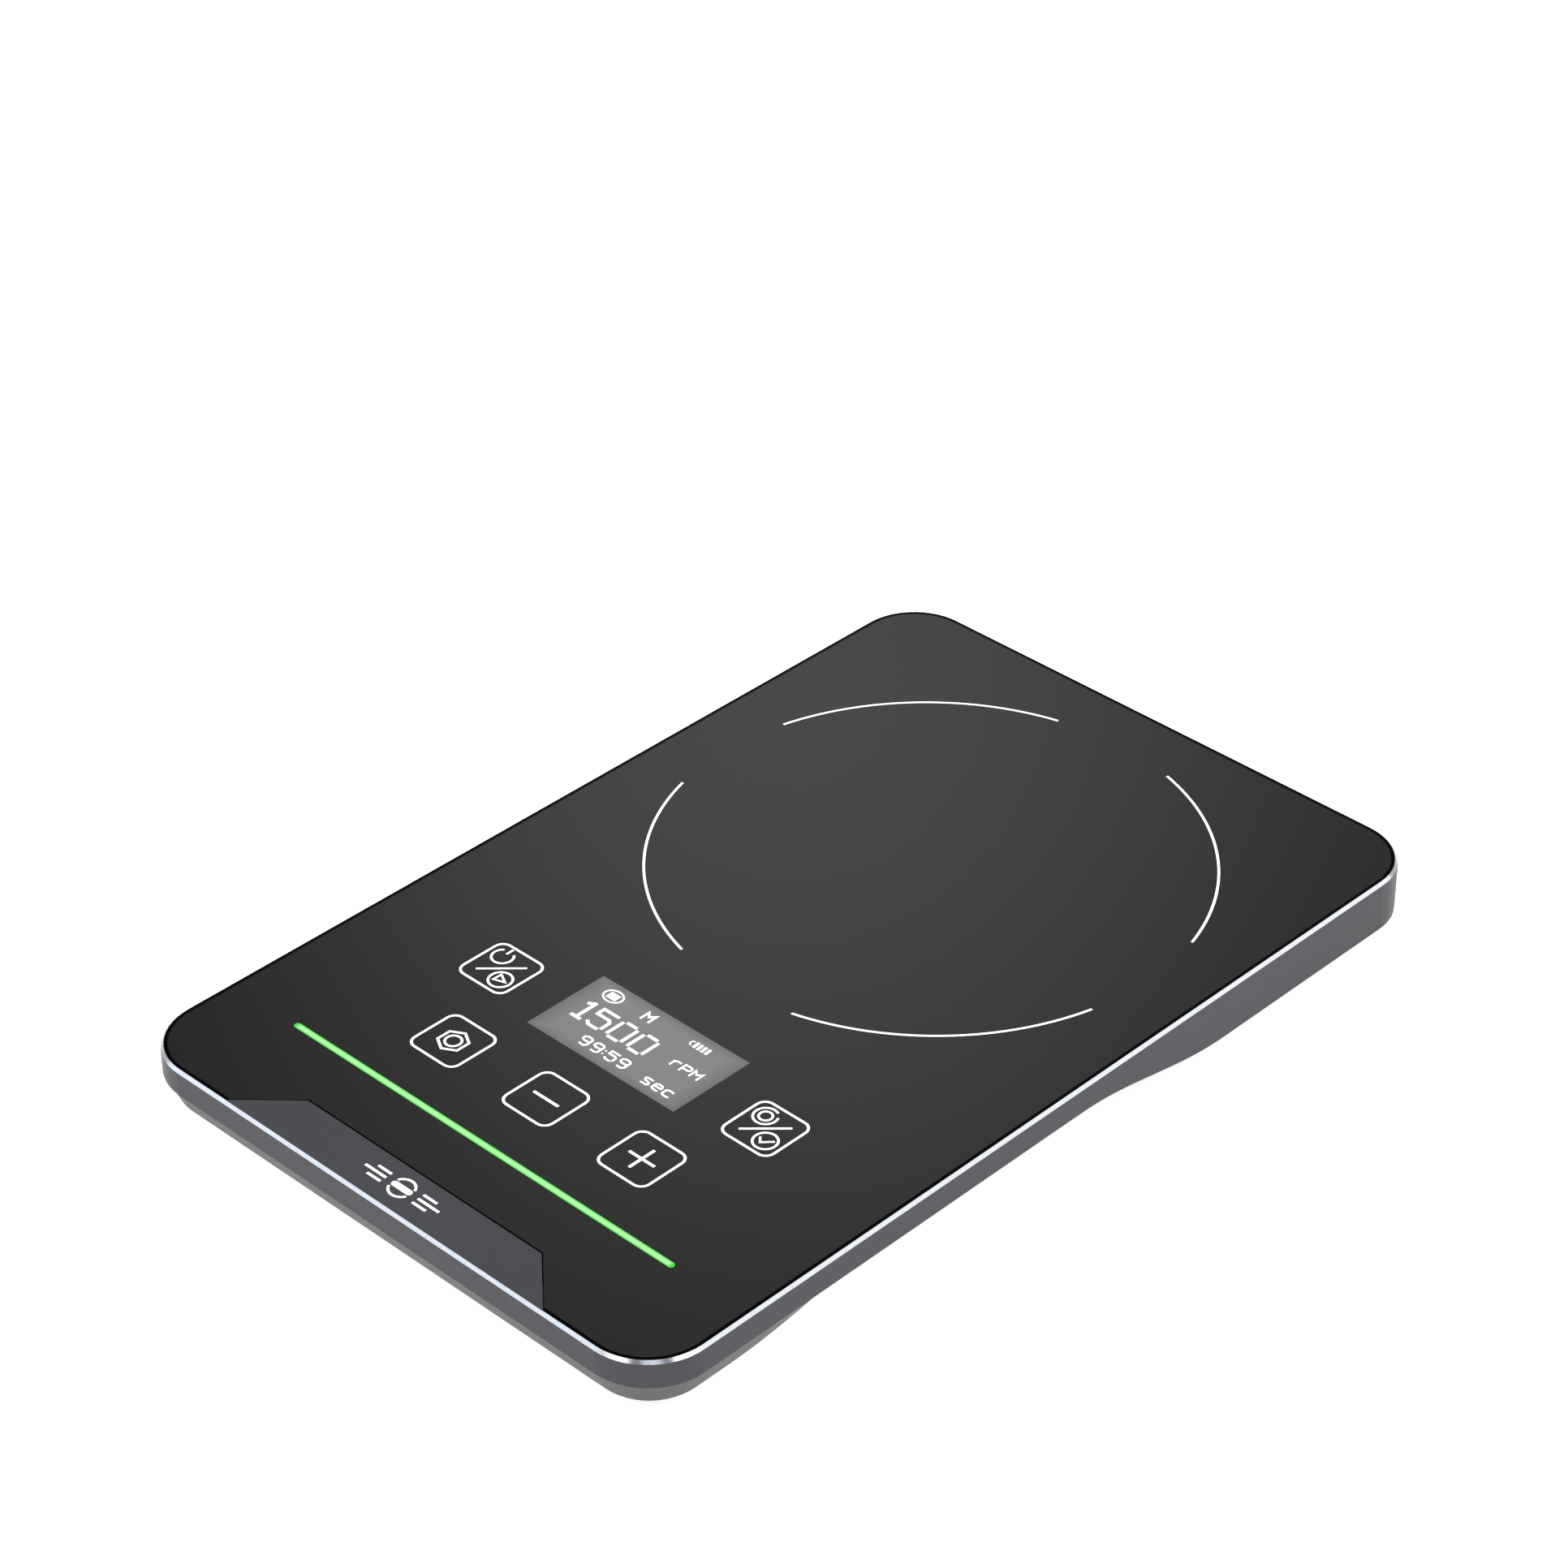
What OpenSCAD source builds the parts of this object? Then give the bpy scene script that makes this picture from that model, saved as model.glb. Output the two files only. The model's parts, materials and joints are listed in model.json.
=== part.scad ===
// Slim magnetic stirrer: a black glass plate in a grey metal frame, with touch keys, a display and
// a green light strip, and a flat motor that turns two drive magnets under the glass.
//
// Millimetres. +X is to the right, +Y to the rear, +Z up. The origin is on the surface that the
// feet stand on, under the middle of the body. "Depth" is the distance down from the frame's top.

/* [Body] */
// Overall width of the body
body_w = 110; // [108:1:118]
// Overall length of the body
body_l = 171; // [170:1:180]
// Outer corner radius of the body
corner_r = 10.75; // [10:0.25:13]
// Width of the bright chamfer round the top edge
chamfer = 0.55; // [0.4:0.05:0.8]
// Height of the frame's side at the front and along the grips
front_band_h = 4.75; // [4.5:0.05:5]
// Height of the frame's side at the rear
rear_band_h = 9; // [8.6:0.05:9.1]
// Height of the closed body without its feet
case_h = 9.25; // [9.25:0.05:10]
// Height of the rubber feet under the body
foot_h = 2.5; // [2:0.1:4]
// Diameter of a rubber foot
foot_d = 12; // [8:1:14]

/* [Glass and front pad] */
// Thickness of the glass
glass_t = 1.5; // [1.4:0.1:1.5]
// Gap round the glass
glass_gap = 0.15; // [0.1:0.05:0.3]
// Width of the front pad along its rear edge
pad_rear_w = 49.6; // [40:1:56]
// Width of the front pad along the front of the body
pad_front_w = 68.6; // [60:1:76]
// Distance from the front of the body to the pad's rear edge
pad_reach = 8.7; // [7:0.1:10]

/* [Lower housing] */
// How far the front bevel draws in towards the bottom
front_bevel = 2; // [1:0.1:3]
// How far the finger grips draw in towards the bottom
grip_inset = 6; // [4:0.5:6.5]
// Where the frame's side starts to drop, from the middle of the body
flare_start = 4; // [0:1:10]
// Where the frame's side reaches its rear height, from the middle of the body
flare_end = 36; // [30:1:44]

/* [Panel] */
// Distance of the light strip from the middle of the body
strip_y = -66; // [-68:0.5:-65]
// Length of the light strip
strip_l = 81.3; // [70:0.1:84]
// Width of the display's lit area
display_w = 31; // [26:1:32]
// Depth of the display's lit area, front to rear
display_l = 16; // [12:1:17]
// Distance of the display from the middle of the body
display_y = -33.8; // [-35:0.1:-33]
// Distance of the three front keys from the middle of the body
front_keys_y = -52.5; // [-54:0.5:-51]
// Spacing of the three front keys
front_key_pitch = 20; // [16:1:24]
// Distance of the two rear keys from the middle of the body
rear_keys_y = -35.3; // [-37:0.1:-33]
// Distance of the two rear keys from the centreline
rear_keys_x = 28; // [27:1:34]
// Side of a key's sensing pad
key_size = 9; // [7:0.5:10]

/* [Motor] */
// Distance of the motor's axis from the middle of the body
motor_y = 30.5; // [28:0.5:31]
// Diameter of the spinning magnet carrier
carrier_d = 60; // [58:1:62]
// Diameter of a drive magnet
magnet_d = 13.9; // [12:0.1:13.9]
// Thickness of a drive magnet
magnet_t = 3; // [2.7:0.1:3]
// Distance of each drive magnet from the axis
magnet_offset = 22.2; // [22:0.1:22.2]
// Diameter of the shaft
shaft_d = 2; // [1.8:0.1:2.2]
// Number of stator teeth
teeth = 9; // [6:3:9]

/* [Battery and boards] */
// Width of the battery
battery_w = 34; // [28:1:36]
// Length of the battery
battery_l = 46; // [36:1:46]
// Thickness of the battery
battery_t = 3.5; // [3:0.1:3.5]
// Width of the main board
board_w = 46; // [44:1:46]
// Length of the main board
board_l = 46; // [44:1:48]
// Width of the charging socket
socket_w = 8.9; // [8.5:0.1:9.2]
// Height of the charging socket
socket_h = 3.2; // [3:0.1:3.3]

/* [Hidden] */
$fn = 64;

eps = 0.01;
fit_gap = 0.05;
top_z = case_h + foot_h;

// Depths of the layers under the glass
glass_top = 0.1;
glass_bottom = glass_top + glass_t;
ledge_top = glass_bottom + 0.2;
ledge_bottom = ledge_top + 1;
floor_bottom = case_h;
floor_top = case_h - 1.1;

// Frame
wall = 1.5;
rim = 0.12;
ledge_w = 4;
pad_gap = 0.3;
pocket_w = body_w - 2 * (chamfer + rim);
pocket_l = body_l - 2 * (chamfer + rim);
pocket_r = corner_r - chamfer - rim;
inner_r = corner_r - wall;
flare_steps = 24;

// Lower housing: how far each level stands in from the outside of the frame
tray_gap = 0.2;
tray_wall = 1.4;
tray_inset = wall + tray_gap;
lip_inset = 0.35;
edge_round = 0.45;
tray_top = ledge_bottom + tray_gap;
bevel_top = front_band_h + 0.1;
bevel_bottom = floor_bottom - edge_round;
grip_front = -68;
grip_full = -20;
lip_front = -40;
lip_full = -5;
corner_steps = 12;
side_steps = 44;
end_steps = 3;

// Screws that hold the body together, and the feet
boss_r = 2.8;
boss_hole_r = 0.85;
foot_edge_r = 0.4;
foot_places = [for (x = [-1, 1], y = [-1, 1])
    [x * (body_w / 2 - 8 - foot_d / 2), y * (body_l / 2 - 7 - foot_d / 2)]];
middle_screw_y = -8;
case_screw_places = concat(foot_places,
    [for (x = [-1, 1]) [x * (body_w / 2 - 12), middle_screw_y]]);
screw_r = 0.8;
screw_head_r = 1.9;
screw_head_h = 0.55;
slot_l = 2;
slot_w = 0.5;
clear_r = 1.1;
head_clear_r = screw_head_r + 0.2;
case_screw_l = 3.6;
boss_web = 10;

// Motor cover
cover_r = 38;
cover_seat_r = 32.7;
cover_hole_r = 33;
cover_t = 1.1;
cover_screw_ring = 35.5;
cover_screws_n = 6;
cover_screw_l = 1.6;
seat_depth = floor_bottom - 0.4;
shaft_relief_r = 3;
shaft_relief = 0.6;
groove_radii = [16, 21, 26];
groove_w = 1;
groove_depth = 0.25;

// Motor layers, as depths
rotor_top = 2.4;
carrier_top = 2.7;
yoke_top = rotor_top + magnet_t;
yoke_bottom = yoke_top + 1;
cup_top = 3.3;
cup_under = 4.1;
skirt_bottom = 6.9;
core_top = 4.9;
core_bottom = 6.6;
coil_top = 4.5;
coil_bottom = 7;
motor_board_top = 7.2;
base_top = 7.7;
base_bottom = seat_depth;
tube_top = 4.6;
bearing_w = 1.5;
bearing_r = 2.5;
bearing_depths = [4.7, 6.5];
clip_top = 8.25;
clip_t = 0.3;

// Motor radii
shaft_r = shaft_d / 2;
running_gap = 0.03;
tube_r = 3.6;
shoulder_r = 4.1;
core_ring_r = 5.4;
tip_inner_r = 10.6;
tip_outer_r = 11.6;
tooth_w = 1.6;
tooth_lap = 0.3;
tip_angle = 14;
ring_inner_r = 12.1;
cup_inner_r = 13.9;
cup_r = 15;
yoke_r = carrier_d / 2 - 1;
base_r = 26;
motor_board_r = 21;
motor_screw_ring = 23.5;
motor_screws_n = 3;
motor_screw_l = 1.4;
bearing_groove = [2.1, 1.5];
bearing_groove_depth = 0.15;
coil_w = 3.3;
hall_ring = 11;
hall_size = [1, 1.6];
hall_h = 0.8;
clip_r = 1.9;
clip_groove = 0.2;
clip_slot = [3, 1];
cup_hole_ring = 8;
cup_hole_r = 1.6;
cup_hub_r = 2.2;
light_hole_r = 3;
small_hole_r = 1.5;
small_holes_n = 4;
magnets_n = 2;

// Panel electronics, as depths
pad_t = 0.1;
pad_r = 1;
touch_t = 0.8;
touch_w = 86;
touch_l = 39;
touch_y = -39.5;
touch_r = 1.5;
touch_gap = 0.75;
touch_top = glass_bottom + pad_t;
gasket_t = 0.2;
panel_t = 1.3;
backlight_t = 0.9;
module_w = display_w + 5;
module_l = display_l + 6;
guide_w = 3.2;
guide_t = 1.8;
guide_r = 0.8;
guide_over = 1.35;
led_t = 0.5;
led_size = [1.6, 0.8];
led_board_top = glass_bottom + guide_t + led_t;
led_board_t = 0.8;
led_board_w = 5;
led_board_over = 2.35;
led_post_x = 39;
led_post_r = 1.8;
leds_n = 14;

// Main board and what is on it, as depths
board_top = 5.4;
board_t = 1;
board_x = -24;
board_y = -37;
board_r = 1.5;
board_boss_r = 2.2;
board_screw_l = 2.1;
board_screw_places = [for (x = [-1, 1], y = [-1, 1])
    [board_x + x * (board_w / 2 - 3), board_y + y * (board_l / 2 - 3)]];

// Parts on the main board, from its middle: [x, y, width, length, height]
controller_part = [-6, 2, 9, 9, 0.9];
driver_part = [-10, 14, 5, 5, 0.9];
inductor_part = [2, 15, 4, 4, 1.2];
small_capacitor = [1.6, 0.8, 0.8];
large_capacitor = [2, 1.2, 0.9];
capacitor_parts = concat(
    [for (i = [0 : 3]) concat([-16 + i * 3, -6], small_capacitor)],
    [for (i = [0 : 3]) concat([-3 + i * 3, -9], small_capacitor)],
    [for (i = [0 : 2]) concat([-4, 9 + i * 2.4], large_capacitor)]);
connector_parts = [[14, 20.5, 8, 3.4, 1.2], [-14, 20.5, 6, 3.4, 1.2], [21, 10, 3, 6, 1.2],
    [4, -20.5, 8, 3.4, 1], [-18.5, 8, 3, 8, 1.2]];
buzzer_place = [board_x - 12, board_y - 14];
buzzer_side = 9;
buzzer_h = 1.9;

// Battery
battery_x = 21;
battery_y = -37;
battery_r = 2;
tape_margin = [4, 6];
battery_bottom = floor_top - 0.2;
battery_top = battery_bottom - battery_t;
battery_lead_start = board_x + 22.5;
battery_lead_y = board_y + 10;
battery_lead_top = board_top - 1;
battery_lead_t = 0.8;

// Charging board at the rear
charge_board_top = 6.6;
charge_board_w = 28;
charge_board_l = 12;
charge_board_y = body_l / 2 - tray_inset - tray_wall - 0.3 - charge_board_l / 2;
charge_screw_x = 11;
socket_depth = charge_board_top - socket_h / 2;
socket_l = 8;
socket_mouth = body_l / 2 - 0.6;
socket_wall = 0.35;
socket_port_gap = 0.3;
tongue_w = 6.2;
tongue_t = 0.7;
tongue_back = 0.9;
socket_plug = 2;
charge_board_r = 1;
charge_boss_r = 2;
charge_screw_l = 1.2;
lead_w = 2.4;
lead_t = 1.2;
lead_ring = 40.5;
lead_start = 110;
lead_end = 218;
lead_top = floor_top - lead_t - 0.1;

// Flat cables: the middle across, the width, and the path of the upper face as [y, depth]
flex_t = 0.3;
module_rear = display_y + module_l / 2;
display_cable = [-12, 9, [[module_rear - 1, 4.05], [module_rear + 1, 4.05],
    [module_rear + 2, 4.9], [module_rear + 3, 5.05]]];
touch_cable = [-42.5, 3, [[-40, 2.5], [-37, 2.5], [-34, 3.9], [-31, 3.9]]];
led_cable = [-20, 6, [[-65, 4.7], [-61, 4.7], [-60, 4.6], [-59.2, 4.6]]];
motor_cable = [-10, 5, [[16, 6.9], [-6, 6.9], [-12, 4.6], [-14, 4.6]]];

// ---- Shared shapes ----

// Extrudes a flat shape between two depths.
module layer(from, to) {
    translate([0, 0, top_z - to]) linear_extrude(to - from) children();
}

module rounded_rect(w, l, r) {
    square([w - 2 * r, l], center = true);
    square([w, l - 2 * r], center = true);
    for (x = [-1, 1], y = [-1, 1])
        translate([x * (w / 2 - r), y * (l / 2 - r)]) circle(r);
}

module annulus(outer, inner) {
    difference() {
        circle(outer);
        circle(inner);
    }
}

module stadium(w, h) {
    square([w - h, h], center = true);
    for (x = [-1, 1]) translate([x * (w - h) / 2, 0]) circle(h / 2);
}

// Places its children on the motor's axis.
module at_motor() {
    translate([0, motor_y]) children();
}

// Repeats its children evenly round a ring.
module on_ring(count, radius, start = 0) {
    for (i = [0 : count - 1]) rotate(start + i * 360 / count) translate([radius, 0]) children();
}

// A block between two depths, by its middle.
module block(x, y, w, l, from, to) {
    layer(from, to) translate([x, y]) square([w, l], center = true);
}

// A screw whose head ends at head_depth. It points up with dir = -1 and down with dir = 1.
module screw(head_depth, shank_l, dir) {
    head_end = head_depth + dir * screw_head_h;
    tip = head_end + dir * shank_l;
    difference() {
        layer(min(head_depth, head_end), max(head_depth, head_end)) circle(screw_head_r);
        layer(head_depth - screw_head_h / 2, head_depth + screw_head_h / 2)
            for (a = [0, 90]) rotate(a) square([slot_l, slot_w], center = true);
    }
    layer(min(head_end, tip), max(head_end, tip)) circle(screw_r);
}

// A thin flat cable, as [x, width, path].
module flat_cable(cable) {
    path = cable[2];
    upper = [for (p = path) [p[0], top_z - p[1]]];
    lower = [for (i = [len(path) - 1 : -1 : 0]) [path[i][0], top_z - path[i][1] - flex_t]];
    translate([cable[0], 0, 0]) rotate([90, 0, 90]) linear_extrude(cable[1], center = true)
        polygon(concat(upper, lower));
}

// ---- Outer shells ----

// The top of the frame, with its chamfer, as quarter cones and straight runs.
module chamfered_top() {
    w = body_w / 2;
    l = body_l / 2;
    translate([0, 0, top_z - chamfer]) {
        for (i = [0 : 3]) {
            sx = (i == 0 || i == 3) ? 1 : -1;
            sy = (i < 2) ? 1 : -1;
            translate([sx * (w - corner_r), sy * (l - corner_r), 0]) rotate(i * 90)
                rotate_extrude(angle = 90)
                    polygon([[0, 0], [corner_r, 0], [corner_r - chamfer, chamfer], [0, chamfer]]);
        }
        rotate([90, 0, 0]) linear_extrude(body_l - 2 * corner_r, center = true)
            polygon([[-w, 0], [w, 0], [w - chamfer, chamfer], [-w + chamfer, chamfer]]);
        rotate([90, 0, 90]) linear_extrude(body_w - 2 * corner_r, center = true)
            polygon([[-l, 0], [l, 0], [l - chamfer, chamfer], [-l + chamfer, chamfer]]);
    }
}

// The trapezoid at the front; grow widens it for the gap in the glass.
module pad_shape(grow = 0) {
    front = -body_l / 2;
    rear = front + pad_reach + grow;
    slope = (pad_front_w - pad_rear_w) / 2 / pad_reach;
    polygon([[-pad_front_w / 2 - grow, front], [pad_front_w / 2 + grow, front],
        [pad_front_w / 2 + grow - slope * (rear - front), rear],
        [-pad_front_w / 2 - grow + slope * (rear - front), rear]]);
}

// Smooth step from 0 to 1 between two places.
function ease(v, from, to) =
    let (t = max(0, min(1, (v - from) / (to - from)))) t * t * (3 - 2 * t);

// Depth of the frame's lower edge along the sides.
function band_depth(y) =
    front_band_h + (rear_band_h - front_band_h) * ease(y, flare_start, flare_end);

// What is cut away below the frame's lower edge, seen from the side.
module below_band() {
    front = -body_l / 2 - 1;
    rear = body_l / 2 + 1;
    curve = [for (i = [0 : flare_steps])
        let (y = flare_start + (flare_end - flare_start) * i / flare_steps)
        [y, top_z - band_depth(y)]];
    rotate([90, 0, 90]) linear_extrude(body_w + 2, center = true)
        polygon(concat([[front, top_z - front_band_h]], curve,
            [[rear, top_z - rear_band_h], [rear, -1], [front, -1]]));
}

// The opening for the charging socket in the rear wall, reaching in by the given length.
module socket_port(reach) {
    translate([0, body_l / 2 + 1, top_z - socket_depth]) rotate([90, 0, 0])
        linear_extrude(reach + 1)
            stadium(socket_w + 2 * socket_port_gap, socket_h + 2 * socket_port_gap);
}

module frame() {
    color("#616267") difference() {
        union() {
            difference() {
                union() {
                    chamfered_top();
                    layer(chamfer, rear_band_h) rounded_rect(body_w, body_l, corner_r);
                }
                layer(-1, ledge_top) difference() {
                    rounded_rect(pocket_w, pocket_l, pocket_r);
                    pad_shape();
                }
                layer(-1, glass_top) pad_shape();
                layer(ledge_top - 1, ledge_bottom + 1) difference() {
                    rounded_rect(body_w - 2 * (wall + ledge_w), body_l - 2 * (wall + ledge_w),
                        inner_r - ledge_w);
                    pad_shape();
                }
                layer(ledge_bottom, rear_band_h + 1)
                    rounded_rect(body_w - 2 * wall, body_l - 2 * wall, inner_r);
                below_band();
            }
            for (p = case_screw_places) {
                layer(ledge_top, floor_top) translate(p) circle(boss_r);
                block(p[0] + sign(p[0]) * boss_web / 2, p[1], boss_web, 2 * boss_r, ledge_top,
                    ledge_bottom);
            }
        }
        for (p = case_screw_places)
            layer(ledge_bottom + 1, floor_top + 1) translate(p) circle(boss_hole_r);
        socket_port(wall + 0.5);
    }
}

module top_glass() {
    color("#1c1c1b") layer(glass_top, glass_bottom) difference() {
        rounded_rect(pocket_w - 2 * glass_gap, pocket_l - 2 * glass_gap, pocket_r - glass_gap);
        pad_shape(pad_gap);
    }
}

module glass_tape() {
    inset = ledge_w - 1;
    color("#101010") layer(glass_bottom, ledge_top) difference() {
        rounded_rect(pocket_w - 2, pocket_l - 2, pocket_r - 1);
        rounded_rect(pocket_w - 2 * inset, pocket_l - 2 * inset, pocket_r - inset);
        pad_shape(1);
    }
}

// How far the lower housing stands in from the frame's outside, by its place y: at its lip under
// the frame, and at the foot of its bevel.
function lip_at(y) = lip_inset + (tray_inset - 0.1 - lip_inset) * ease(y, lip_front, lip_full);
function foot_at(y) = y < flare_start
    ? front_bevel + (grip_inset - front_bevel) * ease(y, grip_front, grip_full)
    : grip_inset + (tray_inset - grip_inset) * ease(y, flare_start, flare_end);

// The outline of the body as [point, outward direction] pairs, anticlockwise from the right side.
outline = let (w = body_w / 2, l = body_l / 2, r = corner_r) concat(
    [for (i = [0 : side_steps - 1]) [[w, -(l - r) + 2 * (l - r) * i / side_steps], [1, 0]]],
    [for (i = [0 : corner_steps - 1]) let (a = 90 * i / corner_steps)
        [[w - r + r * cos(a), l - r + r * sin(a)], [cos(a), sin(a)]]],
    [for (i = [0 : end_steps - 1]) [[w - r - 2 * (w - r) * i / end_steps, l], [0, 1]]],
    [for (i = [0 : corner_steps - 1]) let (a = 90 + 90 * i / corner_steps)
        [[-(w - r) + r * cos(a), l - r + r * sin(a)], [cos(a), sin(a)]]],
    [for (i = [0 : side_steps - 1]) [[-w, l - r - 2 * (l - r) * i / side_steps], [-1, 0]]],
    [for (i = [0 : corner_steps - 1]) let (a = 180 + 90 * i / corner_steps)
        [[-(w - r) + r * cos(a), -(l - r) + r * sin(a)], [cos(a), sin(a)]]],
    [for (i = [0 : end_steps - 1]) [[-(w - r) + 2 * (w - r) * i / end_steps, -l], [0, -1]]],
    [for (i = [0 : corner_steps - 1]) let (a = 270 + 90 * i / corner_steps)
        [[w - r + r * cos(a), -(l - r) + r * sin(a)], [cos(a), sin(a)]]]);

// One level of the housing's wall, with how far each outline point stands in.
function level(depth, insets) = [for (i = [0 : len(outline) - 1])
    [outline[i][0][0] - outline[i][1][0] * insets[i],
     outline[i][0][1] - outline[i][1][1] * insets[i], top_z - depth]];

lip_insets = [for (o = outline) lip_at(o[0][1])];
foot_insets = [for (o = outline) foot_at(o[0][1])];
floor_insets = [for (f = foot_insets) f + tray_wall];
upper_outer = [for (o = outline) tray_inset];
upper_inner = [for (o = outline) tray_inset + tray_wall];

// A closed ring through a list of levels, up the outside and down the inside.
module ring_wall(levels) {
    n = len(outline);
    count = len(levels);
    faces = [for (k = [0 : count - 1], i = [0 : n - 1])
        let (next = ((k + 1) % count) * n, j = (i + 1) % n)
        each [[k * n + i, next + i, k * n + j], [k * n + j, next + i, next + j]]];
    polyhedron(points = [for (l = levels) each l], faces = faces);
}

// The bevelled wall of the lower housing, with its finger grips and flared rear.
module housing_wall() {
    ring_wall([level(floor_bottom, [for (f = foot_insets) f + edge_round]),
        level(bevel_bottom, foot_insets), level(bevel_top, lip_insets),
        level(front_band_h, upper_outer), level(tray_top, upper_outer),
        level(tray_top, upper_inner), level(front_band_h, upper_inner),
        level(floor_top, floor_insets), level(floor_bottom, floor_insets)]);
}

module housing_floor() {
    layer(floor_top, floor_bottom) difference() {
        polygon([for (p = level(0, floor_insets)) [p[0], p[1]]]);
        at_motor() {
            circle(cover_hole_r);
            on_ring(cover_screws_n, cover_screw_ring) circle(boss_hole_r);
        }
        for (p = case_screw_places) translate(p) circle(clear_r);
    }
}

// A round post on the floor, with a screw hole down to the floor.
module floor_boss(place, top, radius) {
    difference() {
        layer(top, floor_top + eps) translate(place) circle(radius);
        layer(top - 1, floor_top + 1) translate(place) circle(boss_hole_r);
    }
}

charge_screw_places = [for (x = [-1, 1]) [x * charge_screw_x, charge_board_y]];

module bottom_case() {
    color("#8b8a86") difference() {
        union() {
            housing_wall();
            housing_floor();
            for (p = board_screw_places) floor_boss(p, board_top + board_t, board_boss_r);
            for (p = charge_screw_places)
                floor_boss(p, charge_board_top + board_t, charge_boss_r);
            for (x = [-1, 1])
                layer(led_board_top + led_board_t, floor_top + eps)
                    translate([x * led_post_x, strip_y]) circle(led_post_r);
        }
        for (p = case_screw_places)
            layer(floor_bottom - screw_head_h - 0.05, floor_bottom + 1)
                translate(p) circle(head_clear_r);
        socket_port(tray_inset + tray_wall + 1);
    }
}

module motor_cover() {
    plate_bottom = floor_bottom + cover_t;
    color("#a9abae") difference() {
        union() {
            layer(floor_bottom, plate_bottom) at_motor() circle(cover_r);
            layer(seat_depth, floor_bottom) at_motor() circle(cover_seat_r);
        }
        layer(seat_depth - 1, seat_depth + shaft_relief) at_motor() circle(shaft_relief_r);
        layer(seat_depth - 1, plate_bottom + 1)
            at_motor() on_ring(cover_screws_n, cover_screw_ring) circle(clear_r);
        layer(plate_bottom - screw_head_h - 0.05, plate_bottom + 1)
            at_motor() on_ring(cover_screws_n, cover_screw_ring) circle(head_clear_r);
        layer(seat_depth - 1, plate_bottom - 0.2)
            at_motor() on_ring(motor_screws_n, motor_screw_ring, 90) circle(boss_hole_r);
        for (r = groove_radii)
            layer(plate_bottom - groove_depth, plate_bottom + 1)
                at_motor() annulus(r + groove_w, r);
    }
}

module rubber_feet() {
    foot_r = foot_d / 2;
    color("#2a2a2b") for (p = foot_places) translate(p) rotate_extrude()
        polygon([[0, 0], [foot_r - 2 * foot_edge_r, 0], [foot_r - foot_edge_r, foot_edge_r],
            [foot_r, foot_h - foot_edge_r], [foot_r, foot_h], [0, foot_h]]);
}

module case_screws() {
    color("#3c3d40") for (p = case_screw_places)
        translate(p) screw(floor_bottom - 0.05, case_screw_l, -1);
}

module cover_screws() {
    color("#3c3d40") at_motor() on_ring(cover_screws_n, cover_screw_ring)
        screw(floor_bottom + cover_t, cover_screw_l, -1);
}

// ---- Light strip, display and keys ----

module light_guide() {
    color("#bff5c4") layer(glass_bottom, glass_bottom + guide_t)
        translate([0, strip_y]) rounded_rect(strip_l + 2 * guide_over, guide_w, guide_r);
}

module leds() {
    pitch = strip_l / leds_n;
    color("#e8ffe4") for (i = [0 : leds_n - 1])
        block((i - (leds_n - 1) / 2) * pitch, strip_y, led_size[0], led_size[1],
            led_board_top - led_t, led_board_top);
}

module led_board() {
    color("#205a36") block(0, strip_y, strip_l + 2 * led_board_over, led_board_w, led_board_top,
        led_board_top + led_board_t);
}

// Middles of the five keys.
function key_places() = concat(
    [for (i = [-1 : 1]) [i * front_key_pitch, front_keys_y]],
    [for (x = [-1, 1]) [x * rear_keys_x, rear_keys_y]]);

module touch_pads() {
    color("#c98f4a") for (p = key_places())
        layer(glass_bottom, touch_top) translate(p) rounded_rect(key_size, key_size, pad_r);
}

module touch_board() {
    color("#1f5f3a") layer(touch_top, touch_top + touch_t) difference() {
        translate([0, touch_y]) rounded_rect(touch_w, touch_l, touch_r);
        translate([0, display_y])
            square([module_w + 2 * touch_gap, module_l + 2 * touch_gap], center = true);
    }
}

module display_gasket() {
    color("#1a1a1a") layer(glass_bottom, glass_bottom + gasket_t) translate([0, display_y])
        difference() {
            square([module_w, module_l], center = true);
            square([display_w, display_l], center = true);
        }
}

module display_panel() {
    top = glass_bottom + gasket_t;
    color("#9a9b9d") block(0, display_y, module_w, module_l, top, top + panel_t);
}

module display_backlight() {
    top = glass_bottom + gasket_t + panel_t;
    color("#e9e9e4") block(0, display_y, module_w, module_l, top, top + backlight_t);
}

// ---- Boards, battery and wiring ----

module main_board() {
    color("#17603b") layer(board_top, board_top + board_t) difference() {
        translate([board_x, board_y]) rounded_rect(board_w, board_l, board_r);
        for (p = board_screw_places) translate(p) circle(clear_r);
    }
}

// A part that stands on the main board, as [x, y, width, length, height].
module on_board(part) {
    block(board_x + part[0], board_y + part[1], part[2], part[3], board_top - part[4],
        board_top);
}

module microcontroller() {
    color("#26272a") on_board(controller_part);
}

module motor_driver() {
    color("#26272a") on_board(driver_part);
}

module inductor() {
    color("#4a4a4c") on_board(inductor_part);
}

module capacitors() {
    color("#b59a6a") for (part = capacitor_parts) on_board(part);
}

module buzzer() {
    color("#1b1b1d") layer(board_top - buzzer_h, board_top) translate(buzzer_place)
        difference() {
            rounded_rect(buzzer_side, buzzer_side, 0.8);
            circle(1);
        }
}

module board_connectors() {
    color("#e6e2d4") for (part = connector_parts) on_board(part);
}

module board_screws() {
    color("#b8babd") for (p = board_screw_places)
        translate(p) screw(board_top - screw_head_h, board_screw_l, 1);
}

module battery() {
    color("#8f9498") layer(battery_top, battery_bottom)
        translate([battery_x, battery_y]) rounded_rect(battery_w, battery_l, battery_r);
}

module battery_tape() {
    color("#f0efe9") block(battery_x, battery_y, battery_w - tape_margin[0],
        battery_l - tape_margin[1], battery_bottom, floor_top);
}

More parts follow.
